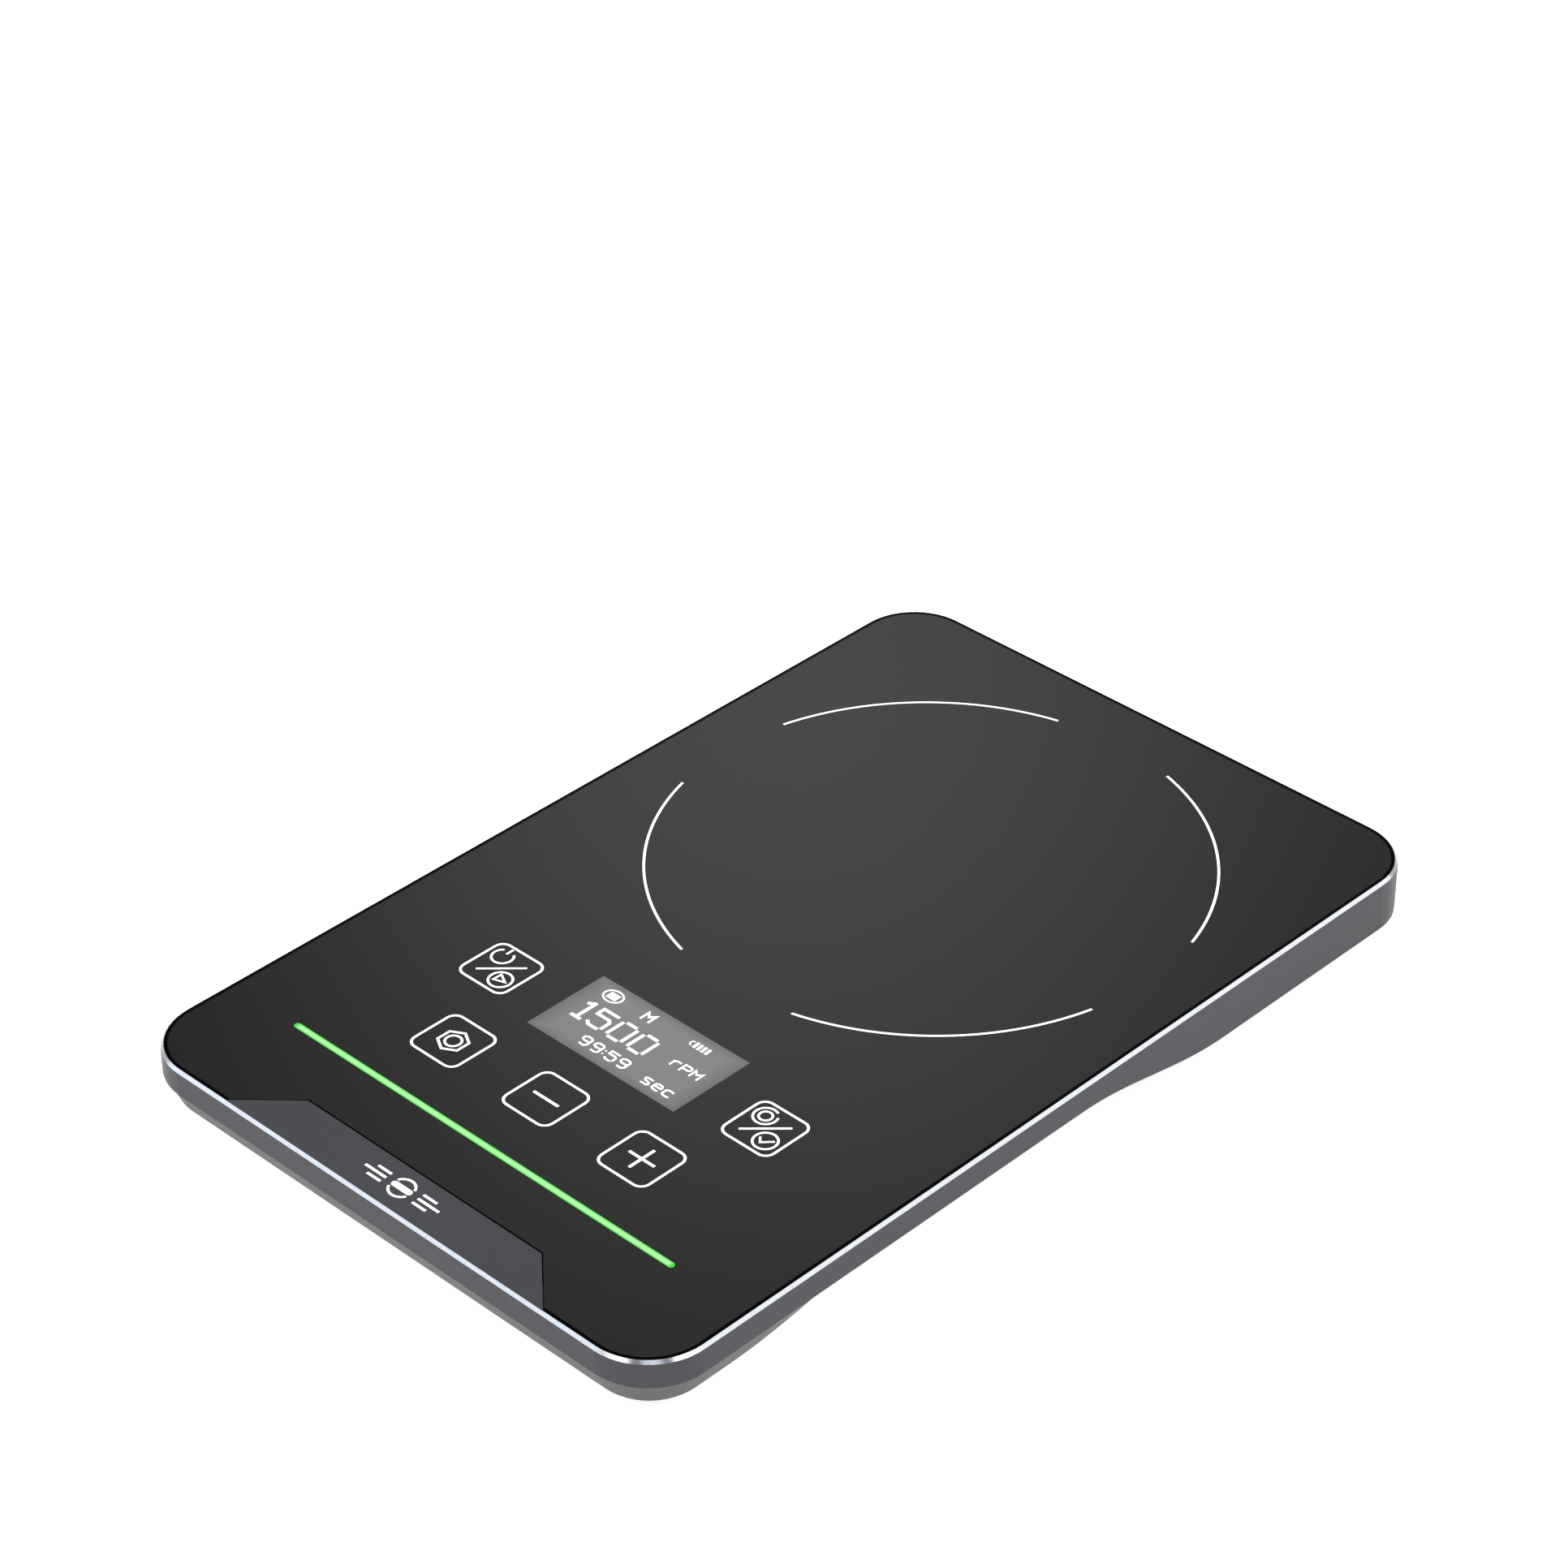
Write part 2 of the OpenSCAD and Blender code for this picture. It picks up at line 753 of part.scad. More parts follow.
module battery_lead() {
    length = battery_x - battery_w / 2 - battery_lead_start;
    color("#b3342c") block(battery_lead_start + length / 2, battery_lead_y, length, lead_w,
        battery_lead_top, battery_lead_top + battery_lead_t);
}

module charging_board() {
    color("#17603b") layer(charge_board_top, charge_board_top + board_t) difference() {
        translate([0, charge_board_y])
            rounded_rect(charge_board_w, charge_board_l, charge_board_r);
        for (p = charge_screw_places) translate(p) circle(clear_r);
    }
}

module charging_screws() {
    color("#b8babd") for (p = charge_screw_places)
        translate(p) screw(charge_board_top - screw_head_h, charge_screw_l, 1);
}

// A stadium tube along Y that ends at the socket's mouth.
module along_socket(from, to) {
    translate([0, socket_mouth - from, top_z - socket_depth]) rotate([90, 0, 0])
        linear_extrude(to - from) children();
}

module socket_shell() {
    color("#c9cbce") along_socket(0, socket_l) difference() {
        stadium(socket_w, socket_h);
        stadium(socket_w - 2 * socket_wall, socket_h - 2 * socket_wall);
    }
}

module socket_tongue() {
    color("#1d1d1f") {
        along_socket(tongue_back, socket_l - socket_plug)
            square([tongue_w, tongue_t], center = true);
        along_socket(socket_l - socket_plug, socket_l)
            stadium(socket_w - 2 * socket_wall, socket_h - 2 * socket_wall);
    }
}

module charging_lead() {
    color("#2b2b2d") translate([0, motor_y, top_z - lead_top - lead_t]) rotate(lead_start)
        rotate_extrude(angle = lead_end - lead_start)
            translate([lead_ring - lead_w / 2, 0]) square([lead_w, lead_t]);
}

module display_flex() {
    color("#b9782e") flat_cable(display_cable);
}

module touch_flex() {
    color("#b9782e") flat_cable(touch_cable);
}

module led_flex() {
    color("#b9782e") flat_cable(led_cable);
}

module motor_flex() {
    color("#b9782e") flat_cable(motor_cable);
}

// ---- Motor: what stands still ----

module motor_base() {
    color("#b6b8ba") difference() {
        union() {
            layer(base_top, base_bottom) at_motor() circle(base_r);
            layer(core_bottom, base_top) at_motor() circle(shoulder_r);
            layer(tube_top, core_bottom) at_motor() circle(tube_r);
        }
        layer(tube_top - 1, base_bottom + 1) at_motor() circle(bearing_r);
        layer(base_top - 1, base_bottom + 1)
            at_motor() on_ring(motor_screws_n, motor_screw_ring, 90) circle(clear_r);
    }
}

module motor_screws() {
    color("#3c3d40") at_motor() on_ring(motor_screws_n, motor_screw_ring, 90)
        screw(base_top - screw_head_h, motor_screw_l, 1);
}

module bearings() {
    color("#c4c7ca") for (d = bearing_depths) difference() {
        layer(d, d + bearing_w) at_motor() annulus(bearing_r, shaft_r + running_gap);
        layer(d - 1, d + bearing_groove_depth)
            at_motor() annulus(bearing_groove[0], bearing_groove[1]);
    }
}

module stator_core() {
    color("#6d6f73") layer(core_top, core_bottom) at_motor() {
        annulus(core_ring_r, tube_r);
        on_ring(teeth, (core_ring_r + tip_inner_r) / 2)
            square([tip_inner_r - core_ring_r + 2 * tooth_lap, tooth_w], center = true);
        for (i = [0 : teeth - 1]) rotate(i * 360 / teeth) intersection() {
            annulus(tip_outer_r, tip_inner_r);
            polygon([[0, 0], 2 * tip_outer_r * [cos(tip_angle), -sin(tip_angle)],
                2 * tip_outer_r * [cos(tip_angle), sin(tip_angle)]]);
        }
    }
}

module stator_coils() {
    inner = core_ring_r + 2 * tooth_lap;
    outer = tip_inner_r - 0.2;
    color("#b5642a") at_motor() on_ring(teeth, (inner + outer) / 2) difference() {
        layer(coil_top, coil_bottom) square([outer - inner, coil_w], center = true);
        layer(core_top, core_bottom) square([outer - inner + 1, tooth_w], center = true);
    }
}

module motor_board() {
    color("#17603b") layer(motor_board_top, base_top) at_motor()
        annulus(motor_board_r, shoulder_r + 0.3);
}

module hall_sensors() {
    color("#1d1d1f") at_motor() for (i = [0 : 2]) rotate((i + 0.5) * 360 / teeth)
        translate([hall_ring, 0]) layer(motor_board_top - hall_h, motor_board_top)
            square(hall_size, center = true);
}

// ---- Motor: what turns ----

module shaft() {
    color("#d6d8da") difference() {
        layer(cup_top, clip_top + clip_t + 0.2) at_motor() circle(shaft_r);
        layer(clip_top, clip_top + clip_t)
            at_motor() annulus(shaft_r + 1, shaft_r - clip_groove);
    }
}

module retaining_ring() {
    color("#8e9093") layer(clip_top, clip_top + clip_t) at_motor() difference() {
        annulus(clip_r, shaft_r - clip_groove);
        translate([clip_slot[0] / 2, 0]) square(clip_slot, center = true);
    }
}

module rotor_cup() {
    color("#9a9da1") at_motor() difference() {
        union() {
            layer(cup_top, cup_under) annulus(cup_r, shaft_r);
            layer(cup_under, cup_under + 0.3) annulus(cup_hub_r, shaft_r);
            layer(cup_under, skirt_bottom) annulus(cup_r, cup_inner_r);
        }
        layer(cup_top - 1, cup_under + 1) on_ring(6, cup_hole_ring) circle(cup_hole_r);
    }
}

module pole_ring() {
    color("#35363a") layer(cup_under + 0.2, skirt_bottom) at_motor()
        annulus(cup_inner_r, ring_inner_r);
}

module drive_yoke() {
    color("#7d8085") layer(yoke_top, yoke_bottom) at_motor() annulus(yoke_r, cup_r);
}

module magnet_carrier() {
    color("#e4e2da") at_motor() {
        layer(carrier_top, yoke_top) difference() {
            annulus(carrier_d / 2, cup_r);
            on_ring(magnets_n, magnet_offset) circle(magnet_d / 2 + fit_gap);
            on_ring(magnets_n, magnet_offset, 90) circle(light_hole_r);
            on_ring(small_holes_n, magnet_offset, 45) circle(small_hole_r);
        }
        layer(yoke_top, yoke_bottom - 0.2) annulus(carrier_d / 2, yoke_r + fit_gap);
    }
}

module drive_magnets() {
    color("#c6c9cc") layer(rotor_top, yoke_top) at_motor()
        on_ring(magnets_n, magnet_offset) circle(magnet_d / 2);
}

top_glass();
glass_tape();
frame();
bottom_case();
motor_cover();
rubber_feet();
case_screws();
cover_screws();
light_guide();
led_board();
leds();
touch_board();
touch_pads();
display_gasket();
display_panel();
display_backlight();
main_board();
microcontroller();
motor_driver();
inductor();
capacitors();
buzzer();
board_connectors();
board_screws();
battery();
battery_tape();
battery_lead();
charging_board();
socket_shell();
socket_tongue();
charging_lead();
charging_screws();
display_flex();
touch_flex();
led_flex();
motor_flex();
motor_base();
motor_screws();
bearings();
stator_core();
stator_coils();
motor_board();
hall_sensors();
shaft();
retaining_ring();
rotor_cup();
pole_ring();
drive_yoke();
magnet_carrier();
drive_magnets();
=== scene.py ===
"""A slim magnetic stirrer on a white table.

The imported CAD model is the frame. This script gives every CAD piece a procedural finish. It adds the white
prints, the lit display and the light strip on the glass. It sets up the camera, the table and the lights.
Sizes on the object are in millimetres and are multiplied by MM, because the scene is in metres.
"""

import json
import math

import bpy
from mathutils import Matrix, Vector


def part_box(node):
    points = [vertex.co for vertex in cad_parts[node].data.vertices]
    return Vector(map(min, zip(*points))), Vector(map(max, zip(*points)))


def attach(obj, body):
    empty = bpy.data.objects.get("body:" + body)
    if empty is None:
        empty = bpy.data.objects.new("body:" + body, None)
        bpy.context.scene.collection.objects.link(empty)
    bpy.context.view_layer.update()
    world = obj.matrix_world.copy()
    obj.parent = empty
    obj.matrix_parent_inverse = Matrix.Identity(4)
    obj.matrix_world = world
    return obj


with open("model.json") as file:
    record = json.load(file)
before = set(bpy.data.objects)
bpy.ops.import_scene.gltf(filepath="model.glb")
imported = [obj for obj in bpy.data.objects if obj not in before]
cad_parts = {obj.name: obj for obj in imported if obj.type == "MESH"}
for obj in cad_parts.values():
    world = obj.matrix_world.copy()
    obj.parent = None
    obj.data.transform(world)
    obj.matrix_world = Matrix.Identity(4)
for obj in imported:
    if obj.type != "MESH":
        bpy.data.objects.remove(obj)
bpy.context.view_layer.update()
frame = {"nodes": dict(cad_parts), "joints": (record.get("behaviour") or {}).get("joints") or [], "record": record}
nodes = frame["nodes"]

MM = 0.001

# Heights and places that come from the CAD model
GLASS_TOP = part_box("top_glass")[1].z / MM
FRAME_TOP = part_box("frame")[1].z / MM
MOTOR_Y = frame["joints"][0]["pos_m"][1] / MM

# A print reaches a little way into the surface, and stands a little above it
PRINT_SINK = 0.01
PRINT_H = 0.02
# The least cosine that a mitre is worked out with, so that a sharp bend has no long spike
MITRE_LIMIT = 0.4

# Places on the panel: x to the right, y to the rear, from the middle of the body
FINE_LINE = 0.42
RING_R = 45
RING_ARCS = [(15, 75), (105, 165), (195, 255), (285, 345)]

STRIP_Y = -66
STRIP_L = 80.3
STRIP_W = 1.15
# The strip's light starts to turn green this far from its middle line, and fades at its ends
# between these distances from the tip
STRIP_CORE = 0.1
TIP_FROM = 1.1
TIP_TO = 0.4

DISPLAY_X = 0.1
DISPLAY_Y = -33.85
DISPLAY_W = 31
DISPLAY_L = 15.9

KEY_SIDE = 9.75
KEY_R = 1.6
FRONT_KEYS_Y = -52.5
FRONT_KEY_PITCH = 20
REAR_KEYS_Y = -35.3
REAR_KEYS_X = 28

# Signs on the keys, from the middle of a key
DASH_REACH = 2.6
DASH_LINE = 0.5
HEXAGON_R = 2.45
HEXAGON_CORE_R = 1.3
SLASH_REACH = (2.8, 2.7)
LOWER_SIGN = (1.97, -2.05)
LOWER_RING_R = 1.9
POWER_RING = (-2.1, 2.2)
POWER_RING_R = 1.75
POWER_SWEEP = (128, 412)
POWER_BAR = (0.8, 2.26)
TIMER_RING = (-2.0, 2.1)
TIMER_RING_R = 1.9
TIMER_SWEEP = (62, 388)
TIMER_CORE_R = 1.05
RING_LINE = 0.38
CORE_LINE = 0.4
SMALL_LINE = 0.36
PLAY_LINE = 0.34
PLAY_SIGN = [(-0.9, -0.65), (1.0, 0.0), (-0.84, 1.0)]
TICK_SIGN = [(-1.2, 0.2), (-0.34, -0.75), (1.14, 0.82)]

# The stop sign and the battery sign on the display. The battery is a round cap and leaning bars
STOP_PLACE = (-10.6, -28.5)
STOP_OVAL = (1.75, 1.38)
STOP_LINE = 0.3
STOP_SQUARE = (0.95, 0.72)
BATTERY_PLACE = (5.9, -28.35)
CAP_X = 0.35
CAP_R = 0.5
CAP_LINE = 0.24
BARS_FROM = 0.95
BAR_PITCH = 0.82
BAR_LEAN = 0.06
BAR_REACH = 0.7
BAR_LINE = 0.5

# The sign on the front pad: a stir bar, two turning arcs and three speed lines at each side
PAD_MARK_Y = -80.7
STIR_BAR_REACH = 1.5
STIR_BAR_R = 0.55
TURN_R = 2.0
TURN_SWEEP = 130
TURN_STARTS = (25, 205)
SPEED_FROM = 3.4
SPEED_ROWS = [(1.1, 6.2), (0, 7.8), (-1.1, 6.2)]
SPEED_LINE = 0.45

# The frame: its chamfer, and the painted shadow in black along the gap round the glass, as depths below the
# frame's top.
# Where a value holds two colours, they are the darker and the lighter end of a finish
CHAMFER_DEPTH = 0.6
CHAMFER_BLUR = 0.02
GAP_SHADOW_DEPTH = 0.08
GAP_SHADOW_BLUR = 0.01
# The sides and the pad are one anodised metal: the sides' grey is darkened as painted shade, the pad's lightened
# as painted light
SIDE_SHADE_GREY = ((0.053, 0.052, 0.059), (0.063, 0.062, 0.069))
PAD_LIT_GREY = ((0.120, 0.124, 0.134), (0.138, 0.142, 0.152))
CUT_METAL = ((0.42, 0.44, 0.47), (0.56, 0.58, 0.60))
# Painted shadow: black without reflection along the frame's top edge by the gap round the glass
GAP_SHADOW_BLACK = (0.004, 0.004, 0.004)

# The glass: its corner radius, and the band of painted shade in black along its edge
GLASS_R = 9.93
GLASS_SHADE_BAND = 0.3
GLASS_SHADE_BLUR = 0.03
GLASS_BLACK = ((0.0045, 0.0045, 0.0044), (0.0065, 0.0065, 0.0062))
EDGE_SHADE_BLACK = (0.001, 0.001, 0.001)

# The green light: its white core, its sides and its round ends
GREEN_CORE = ((0.44, 0.98, 0.38), (0.52, 1.0, 0.46))
GREEN_SIDE = (0.035, 0.74, 0.045)
GREEN_TIP = (0.03, 0.72, 0.016)
GREEN_UNLIT = (0.02, 0.05, 0.02)

# The display's lit field, its dot grid, and the white ink, which glows: as painted light on the glass prints, as
# the display's own light on the readout
FIELD_GREY = (0.235, 0.24, 0.25)
FIELD_EDGE_GREY = (0.15, 0.152, 0.155)
FIELD_UNLIT = (0.02, 0.02, 0.021)
FIELD_GLOW = 0.76
DOT_GREY = (0.3, 0.31, 0.32)
DOT_PITCH = 0.3
DOT_STRENGTH = 0.12
INK_WHITE = ((0.86, 0.87, 0.88), (0.97, 0.97, 0.97))
INK_GLOW = 0.8

# The feet, the circuit boards and the motor's wire, whose darker end is painted shade between its turns
FOOT_R = 6
FOOT_RING_PITCH = 1.2
RUBBER_BLACK = ((0.014, 0.014, 0.015), (0.028, 0.028, 0.029))
MASK_GREEN = (0.008, 0.085, 0.032)
TRACE_GREEN = (0.02, 0.19, 0.07)
VIA_TIN = (0.72, 0.66, 0.45)
WIRE_PITCH = 0.28
WIRE_COPPER_AND_SHADE = ((0.28, 0.09, 0.03), (0.85, 0.42, 0.2))

REFRACTIVE_INDEX = 1.5
# How many times larger a plain surface's cloudiness is than its grain
CLOUD_TO_GRAIN = 30


# ---- Flat printed shapes ----


def arc_points(centre, radius, start, end, step=4):
    """Points along an arc, from start to end in degrees."""
    count = max(2, round(abs(end - start) / step))
    turns = [math.radians(start + (end - start) * i / count) for i in range(count + 1)]
    return [(centre[0] + radius * math.cos(t), centre[1] + radius * math.sin(t)) for t in turns]


def rounded_square(centre, side, radius):
    """The outline of a square with round corners."""
    reach = side / 2 - radius
    corners = [(1, 1, 0), (-1, 1, 90), (-1, -1, 180), (1, -1, 270)]
    points = []
    for sx, sy, start in corners:
        middle = (centre[0] + sx * reach, centre[1] + sy * reach)
        points += arc_points(middle, radius, start, start + 90, 15)
    return points


def rectangle(centre, half_w, half_l):
    """The outline of a rectangle."""
    return [(centre[0] + sx * half_w, centre[1] + sy * half_l)
            for sx, sy in ((-1, -1), (1, -1), (1, 1), (-1, 1))]


def capsule(centre_y, reach, radius):
    """The outline of a bar with round ends, lying along x."""
    right = arc_points((reach, centre_y), radius, -90, 90, 15)
    left = arc_points((-reach, centre_y), radius, 90, 270, 15)
    return right + left


def hexagon(centre, radius):
    """The corners of a hexagon that stands on a corner."""
    turns = [math.radians(90 + 60 * i) for i in range(6)]
    return [(centre[0] + radius * math.cos(t), centre[1] + radius * math.sin(t)) for t in turns]


def shifted(points, x, y):
    """The points moved by x and y."""
    return [(x + px, y + py) for px, py in points]


class Print:
    """Thin ink or light-film shapes on a level surface, gathered into one mesh."""

    def __init__(self, surface=GLASS_TOP):
        self.low = (surface - PRINT_SINK) * MM
        self.high = (surface + PRINT_H) * MM
        self.points = []
        self.faces = []

    def prism(self, outline):
        """A filled shape. The outline is anticlockwise and convex."""
        start = len(self.points)
        count = len(outline)
        self.points += [(x * MM, y * MM, z) for z in (self.low, self.high) for x, y in outline]
        self.faces.append([start + i for i in reversed(range(count))])
        self.faces.append([start + count + i for i in range(count)])
        for i in range(count):
            j = (i + 1) % count
            self.faces.append([start + i, start + j, start + count + j, start + count + i])

    def stroke(self, path, width, closed=False):
        """A line of even width with mitred bends."""
        count = len(path)
        left, right = [], []
        for i, point in enumerate(path):
            here = Vector(point)
            before = Vector(path[i - 1]) if closed or i else None
            after = Vector(path[(i + 1) % count]) if closed or i < count - 1 else None
            ways = [w.normalized() for w in (before and here - before, after and after - here) if w]
            along = sum(ways, Vector((0, 0))).normalized()
            side = Vector((-along.y, along.x))
            lean = max(MITRE_LIMIT, side.dot(Vector((-ways[0].y, ways[0].x))))
            left.append(here + side * width / 2 / lean)
            right.append(here - side * width / 2 / lean)
        self.ribbon(left, right, closed)

    def ribbon(self, left, right, closed):
        """A closed thin solid between two edges."""
        count = len(left)
        start = len(self.points)
        for z in (self.low, self.high):
            for edge in (left, right):
                self.points += [(p[0] * MM, p[1] * MM, z) for p in edge]
        low_left, low_right, high_left, high_right = (start + i * count for i in range(4))
        for i in range(count if closed else count - 1):
            j = (i + 1) % count
            self.faces.append([high_right + i, high_right + j, high_left + j, high_left + i])
            self.faces.append([low_left + i, low_left + j, low_right + j, low_right + i])
            self.faces.append([high_left + i, high_left + j, low_left + j, low_left + i])
            self.faces.append([low_right + i, low_right + j, high_right + j, high_right + i])
        if not closed:
            end = count - 1
            self.faces.append([low_left, low_right, high_right, high_left])
            self.faces.append([low_right + end, low_left + end, high_left + end, high_right + end])

    def circle(self, centre, radius, width):
        """A round line."""
        self.stroke(arc_points(centre, radius, 0, 360, 10)[:-1], width, closed=True)

    def build(self, name, finish, body="case"):
        """Makes the shapes into one piece that rides on a body."""
        mesh = bpy.data.meshes.new(name)
        mesh.from_pydata(self.points, [], self.faces)
        mesh.validate()
        mesh.materials.append(finish.material)
        piece = bpy.data.objects.new(name, mesh)
        bpy.context.scene.collection.objects.link(piece)
        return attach(piece, body)


# ---- Finishes ----


class Finish:
    """A procedural material: a Principled shader and the node graph that feeds it."""

    def __init__(self, name, metallic=0.0, coat=0.0):
        self.name = name
        self.material = bpy.data.materials.new(name)
        self.material.use_nodes = True
        self.tree = self.material.node_tree
        self.shader = self.tree.nodes["Principled BSDF"]
        self.shader.inputs["Metallic"].default_value = metallic
        self.shader.inputs["IOR"].default_value = REFRACTIVE_INDEX
        self.shader.inputs["Coat Weight"].default_value = coat
        self.place = self.node("ShaderNodeTexCoord").outputs["Object"]
        self.split = None

    def node(self, kind, **settings):
        """Adds a node with the given settings."""
        made = self.tree.nodes.new(kind)
        for key, value in settings.items():
            setattr(made, key, value)
        return made

    def feed(self, socket, value):
        """Puts a number, a colour or another node's output on an input."""
        if isinstance(value, bpy.types.NodeSocket):
            self.tree.links.new(value, socket)
        elif isinstance(value, (tuple, list)) and len(value) == 3 and socket.type == "RGBA":
            socket.default_value = (*value, 1)
        else:
            socket.default_value = value

    def math(self, operation, a, b=0.0, c=0.0):
        """One step of arithmetic."""
        made = self.node("ShaderNodeMath", operation=operation)
        for socket, value in zip(made.inputs, (a, b, c)):
            self.feed(socket, value)
        return made.outputs[0]

    def axis(self, letter):
        """The place along one axis, in millimetres."""
        if self.split is None:
            self.split = self.node("ShaderNodeSeparateXYZ")
            self.feed(self.split.inputs[0], self.place)
        return self.math("DIVIDE", self.split.outputs["XYZ".index(letter)], MM)

    def away(self, letter, middle=0.0):
        """The distance along one axis from a middle, in millimetres."""
        return self.math("ABSOLUTE", self.math("SUBTRACT", self.axis(letter), middle))

    def beyond(self, letter, limit):
        """How far the place is past a limit on either side of the middle, and 0 before it."""
        return self.math("MAXIMUM", self.math("SUBTRACT", self.away(letter), limit), 0)

    def length(self, a, b):
        """The long side of a right triangle with sides a and b."""
        squares = self.math("ADD", self.math("POWER", a, 2), self.math("POWER", b, 2))
        return self.math("SQRT", squares)

    def motor_radius(self):
        """The distance from the motor's axis, in millimetres."""
        return self.length(self.away("X"), self.away("Y", MOTOR_Y))

    def normal_z(self):
        """How much the surface faces up, from -1 to 1."""
        geometry = self.node("ShaderNodeNewGeometry")
        split = self.node("ShaderNodeSeparateXYZ")
        self.feed(split.inputs[0], geometry.outputs["Normal"])
        return split.outputs[2]

    def step(self, value, low, high):
        """0 below low, 1 above high, smooth between."""
        made = self.node("ShaderNodeMapRange", interpolation_type="SMOOTHSTEP")
        self.feed(made.inputs["Value"], value)
        self.feed(made.inputs["From Min"], low)
        self.feed(made.inputs["From Max"], high)
        return made.outputs["Result"]

    def past(self, value, place, blur):
        """0 below a place, 1 above it, blurred on both sides of it."""
        return self.step(value, place - blur, place + blur)

    def between(self, value, low, high, soft):
        """1 between low and high, 0 outside."""
        rise = self.step(value, low - soft, low)
        fall = self.step(value, high, high + soft)
        return self.math("SUBTRACT", rise, fall)

    def inverse(self, value):
        """Turns 0 into 1, and 1 into 0."""
        return self.math("SUBTRACT", 1.0, value)

    def scale(self, value, low, high):
        """Turns 0 to 1 into low to high."""
        return self.math("MULTIPLY_ADD", value, high - low, low)

    def noise(self, size, detail=2.0, stretch=(1, 1, 1)):
        """Cloudy variation whose features are about size millimetres across."""
        mapping = self.node("ShaderNodeMapping")
        self.feed(mapping.inputs["Vector"], self.place)
        mapping.inputs["Scale"].default_value = [s / (size * MM) for s in stretch]
        made = self.node("ShaderNodeTexNoise")
        self.feed(made.inputs["Vector"], mapping.outputs[0])
        self.feed(made.inputs["Scale"], 1.0)
        self.feed(made.inputs["Detail"], detail)
        return made.outputs["Fac"]

    def cells(self, size, feature="F1", randomness=1.0):
        """A pattern of cells about size millimetres across."""
        made = self.node("ShaderNodeTexVoronoi", feature=feature)
        self.feed(made.inputs["Vector"], self.place)
        self.feed(made.inputs["Scale"], 1 / (size * MM))
        self.feed(made.inputs["Randomness"], randomness)
        return made.outputs["Distance"]

    def bands(self, value, pitch):
        """Smooth stripes from 0 to 1 along a value in millimetres."""
        wave = self.math("SINE", self.math("MULTIPLY", value, 2 * math.pi / pitch))
        return self.scale(wave, 0.5, 1.0)

    def blend(self, amount, a, b):
        """A colour between a and b."""
        made = self.node("ShaderNodeMix", data_type="RGBA")
        self.feed(made.inputs[0], amount)
        self.feed(made.inputs[6], a)
        self.feed(made.inputs[7], b)
        return made.outputs[2]

    def colour(self, value):
        """Sets the surface colour."""
        self.feed(self.shader.inputs["Base Color"], value)

    def mottle(self, amount, a, b):
        """Sets a surface colour that varies between a and b."""
        self.colour(self.blend(amount, a, b))

    def rough(self, value):
        """Sets the roughness."""
        self.feed(self.shader.inputs["Roughness"], value)

    def gloss(self, amount, low, high):
        """Sets a roughness that varies between low and high."""
        self.rough(self.scale(amount, low, high))

    def metal(self, value):
        """Sets how metallic the surface is."""
        self.feed(self.shader.inputs["Metallic"], value)

    def glow(self, colour, strength):
        """Makes the surface give off light."""
        self.feed(self.shader.inputs["Emission Color"], colour)
        self.shader.inputs["Emission Strength"].default_value = strength

    def bump(self, height, depth, strength):
        """Relief of the given depth in millimetres."""
        made = self.node("ShaderNodeBump")
        self.feed(made.inputs["Height"], height)
        made.inputs["Distance"].default_value = depth * MM
        made.inputs["Strength"].default_value = strength
        self.feed(self.shader.inputs["Normal"], made.outputs[0])


def shade(colour, factor):
    """The colour made lighter or darker."""
    return tuple(min(1.0, c * factor) for c in colour)


def grained(name, colour, roughness, metallic=0.0, grain=0.3, relief=0.01, spread=0.1, coat=0.0):
    """A plain moulded, cast or coated surface: fine grain, faint cloudiness and uneven gloss."""
    finish = Finish(name, metallic=metallic, coat=coat)
    cloud = finish.noise(grain * CLOUD_TO_GRAIN, detail=3)
    finish.mottle(cloud, shade(colour, 1 - spread), shade(colour, 1 + spread))
    finish.gloss(cloud, roughness - 0.05, roughness + 0.05)
    finish.bump(finish.noise(grain), depth=relief, strength=0.5)
    return finish


def brushed(name, colour, roughness, stretch, grain=0.15):
    """Metal with fine scratches along one direction."""
    finish = Finish(name, metallic=1.0)
    scratches = finish.noise(grain, stretch=stretch)
    finish.mottle(scratches, shade(colour, 0.85), shade(colour, 1.1))
    finish.gloss(finish.noise(8), roughness - 0.06, roughness + 0.06)
    finish.bump(scratches, depth=0.004, strength=0.4)
    return finish


def turned(name, colour, roughness, pitch=0.35):
    """Metal turned on a lathe round the motor's axis."""
    finish = Finish(name, metallic=1.0)
    wobble = finish.scale(finish.noise(3), 0, 0.25)
    rings = finish.bands(finish.math("ADD", finish.motor_radius(), wobble), pitch)
    finish.mottle(rings, shade(colour, 0.9), shade(colour, 1.08))
    finish.gloss(finish.noise(12, detail=3), roughness - 0.05, roughness + 0.08)
    finish.bump(rings, depth=0.006, strength=0.5)
    return finish


def circuit_board(name):
    """Green solder mask over copper traces, with tinned vias."""
    finish = Finish(name, coat=0.4)
    borders = finish.cells(2.6, feature="DISTANCE_TO_EDGE")
    trace = finish.inverse(finish.step(borders, 0.03, 0.06))
    dots = finish.cells(2.2, randomness=0.35)
    via = finish.inverse(finish.step(dots, 0.1, 0.14))
    finish.mottle(via, finish.blend(trace, MASK_GREEN, TRACE_GREEN), VIA_TIN)
    finish.metal(via)
    finish.gloss(finish.noise(4), 0.25, 0.4)
    finish.bump(trace, depth=0.02, strength=0.6)
    return finish


def striped(name, light, dark, axis, pitch, roughness, metallic=0.0):
    """Parallel wires, traces or sheets along one axis."""
    finish = Finish(name, metallic=metallic)
    lines = finish.bands(finish.axis(axis), pitch)
    finish.mottle(lines, dark, light)
    finish.gloss(finish.noise(1.5), roughness - 0.06, roughness + 0.06)
    finish.bump(lines, depth=0.05, strength=0.7)
    return finish


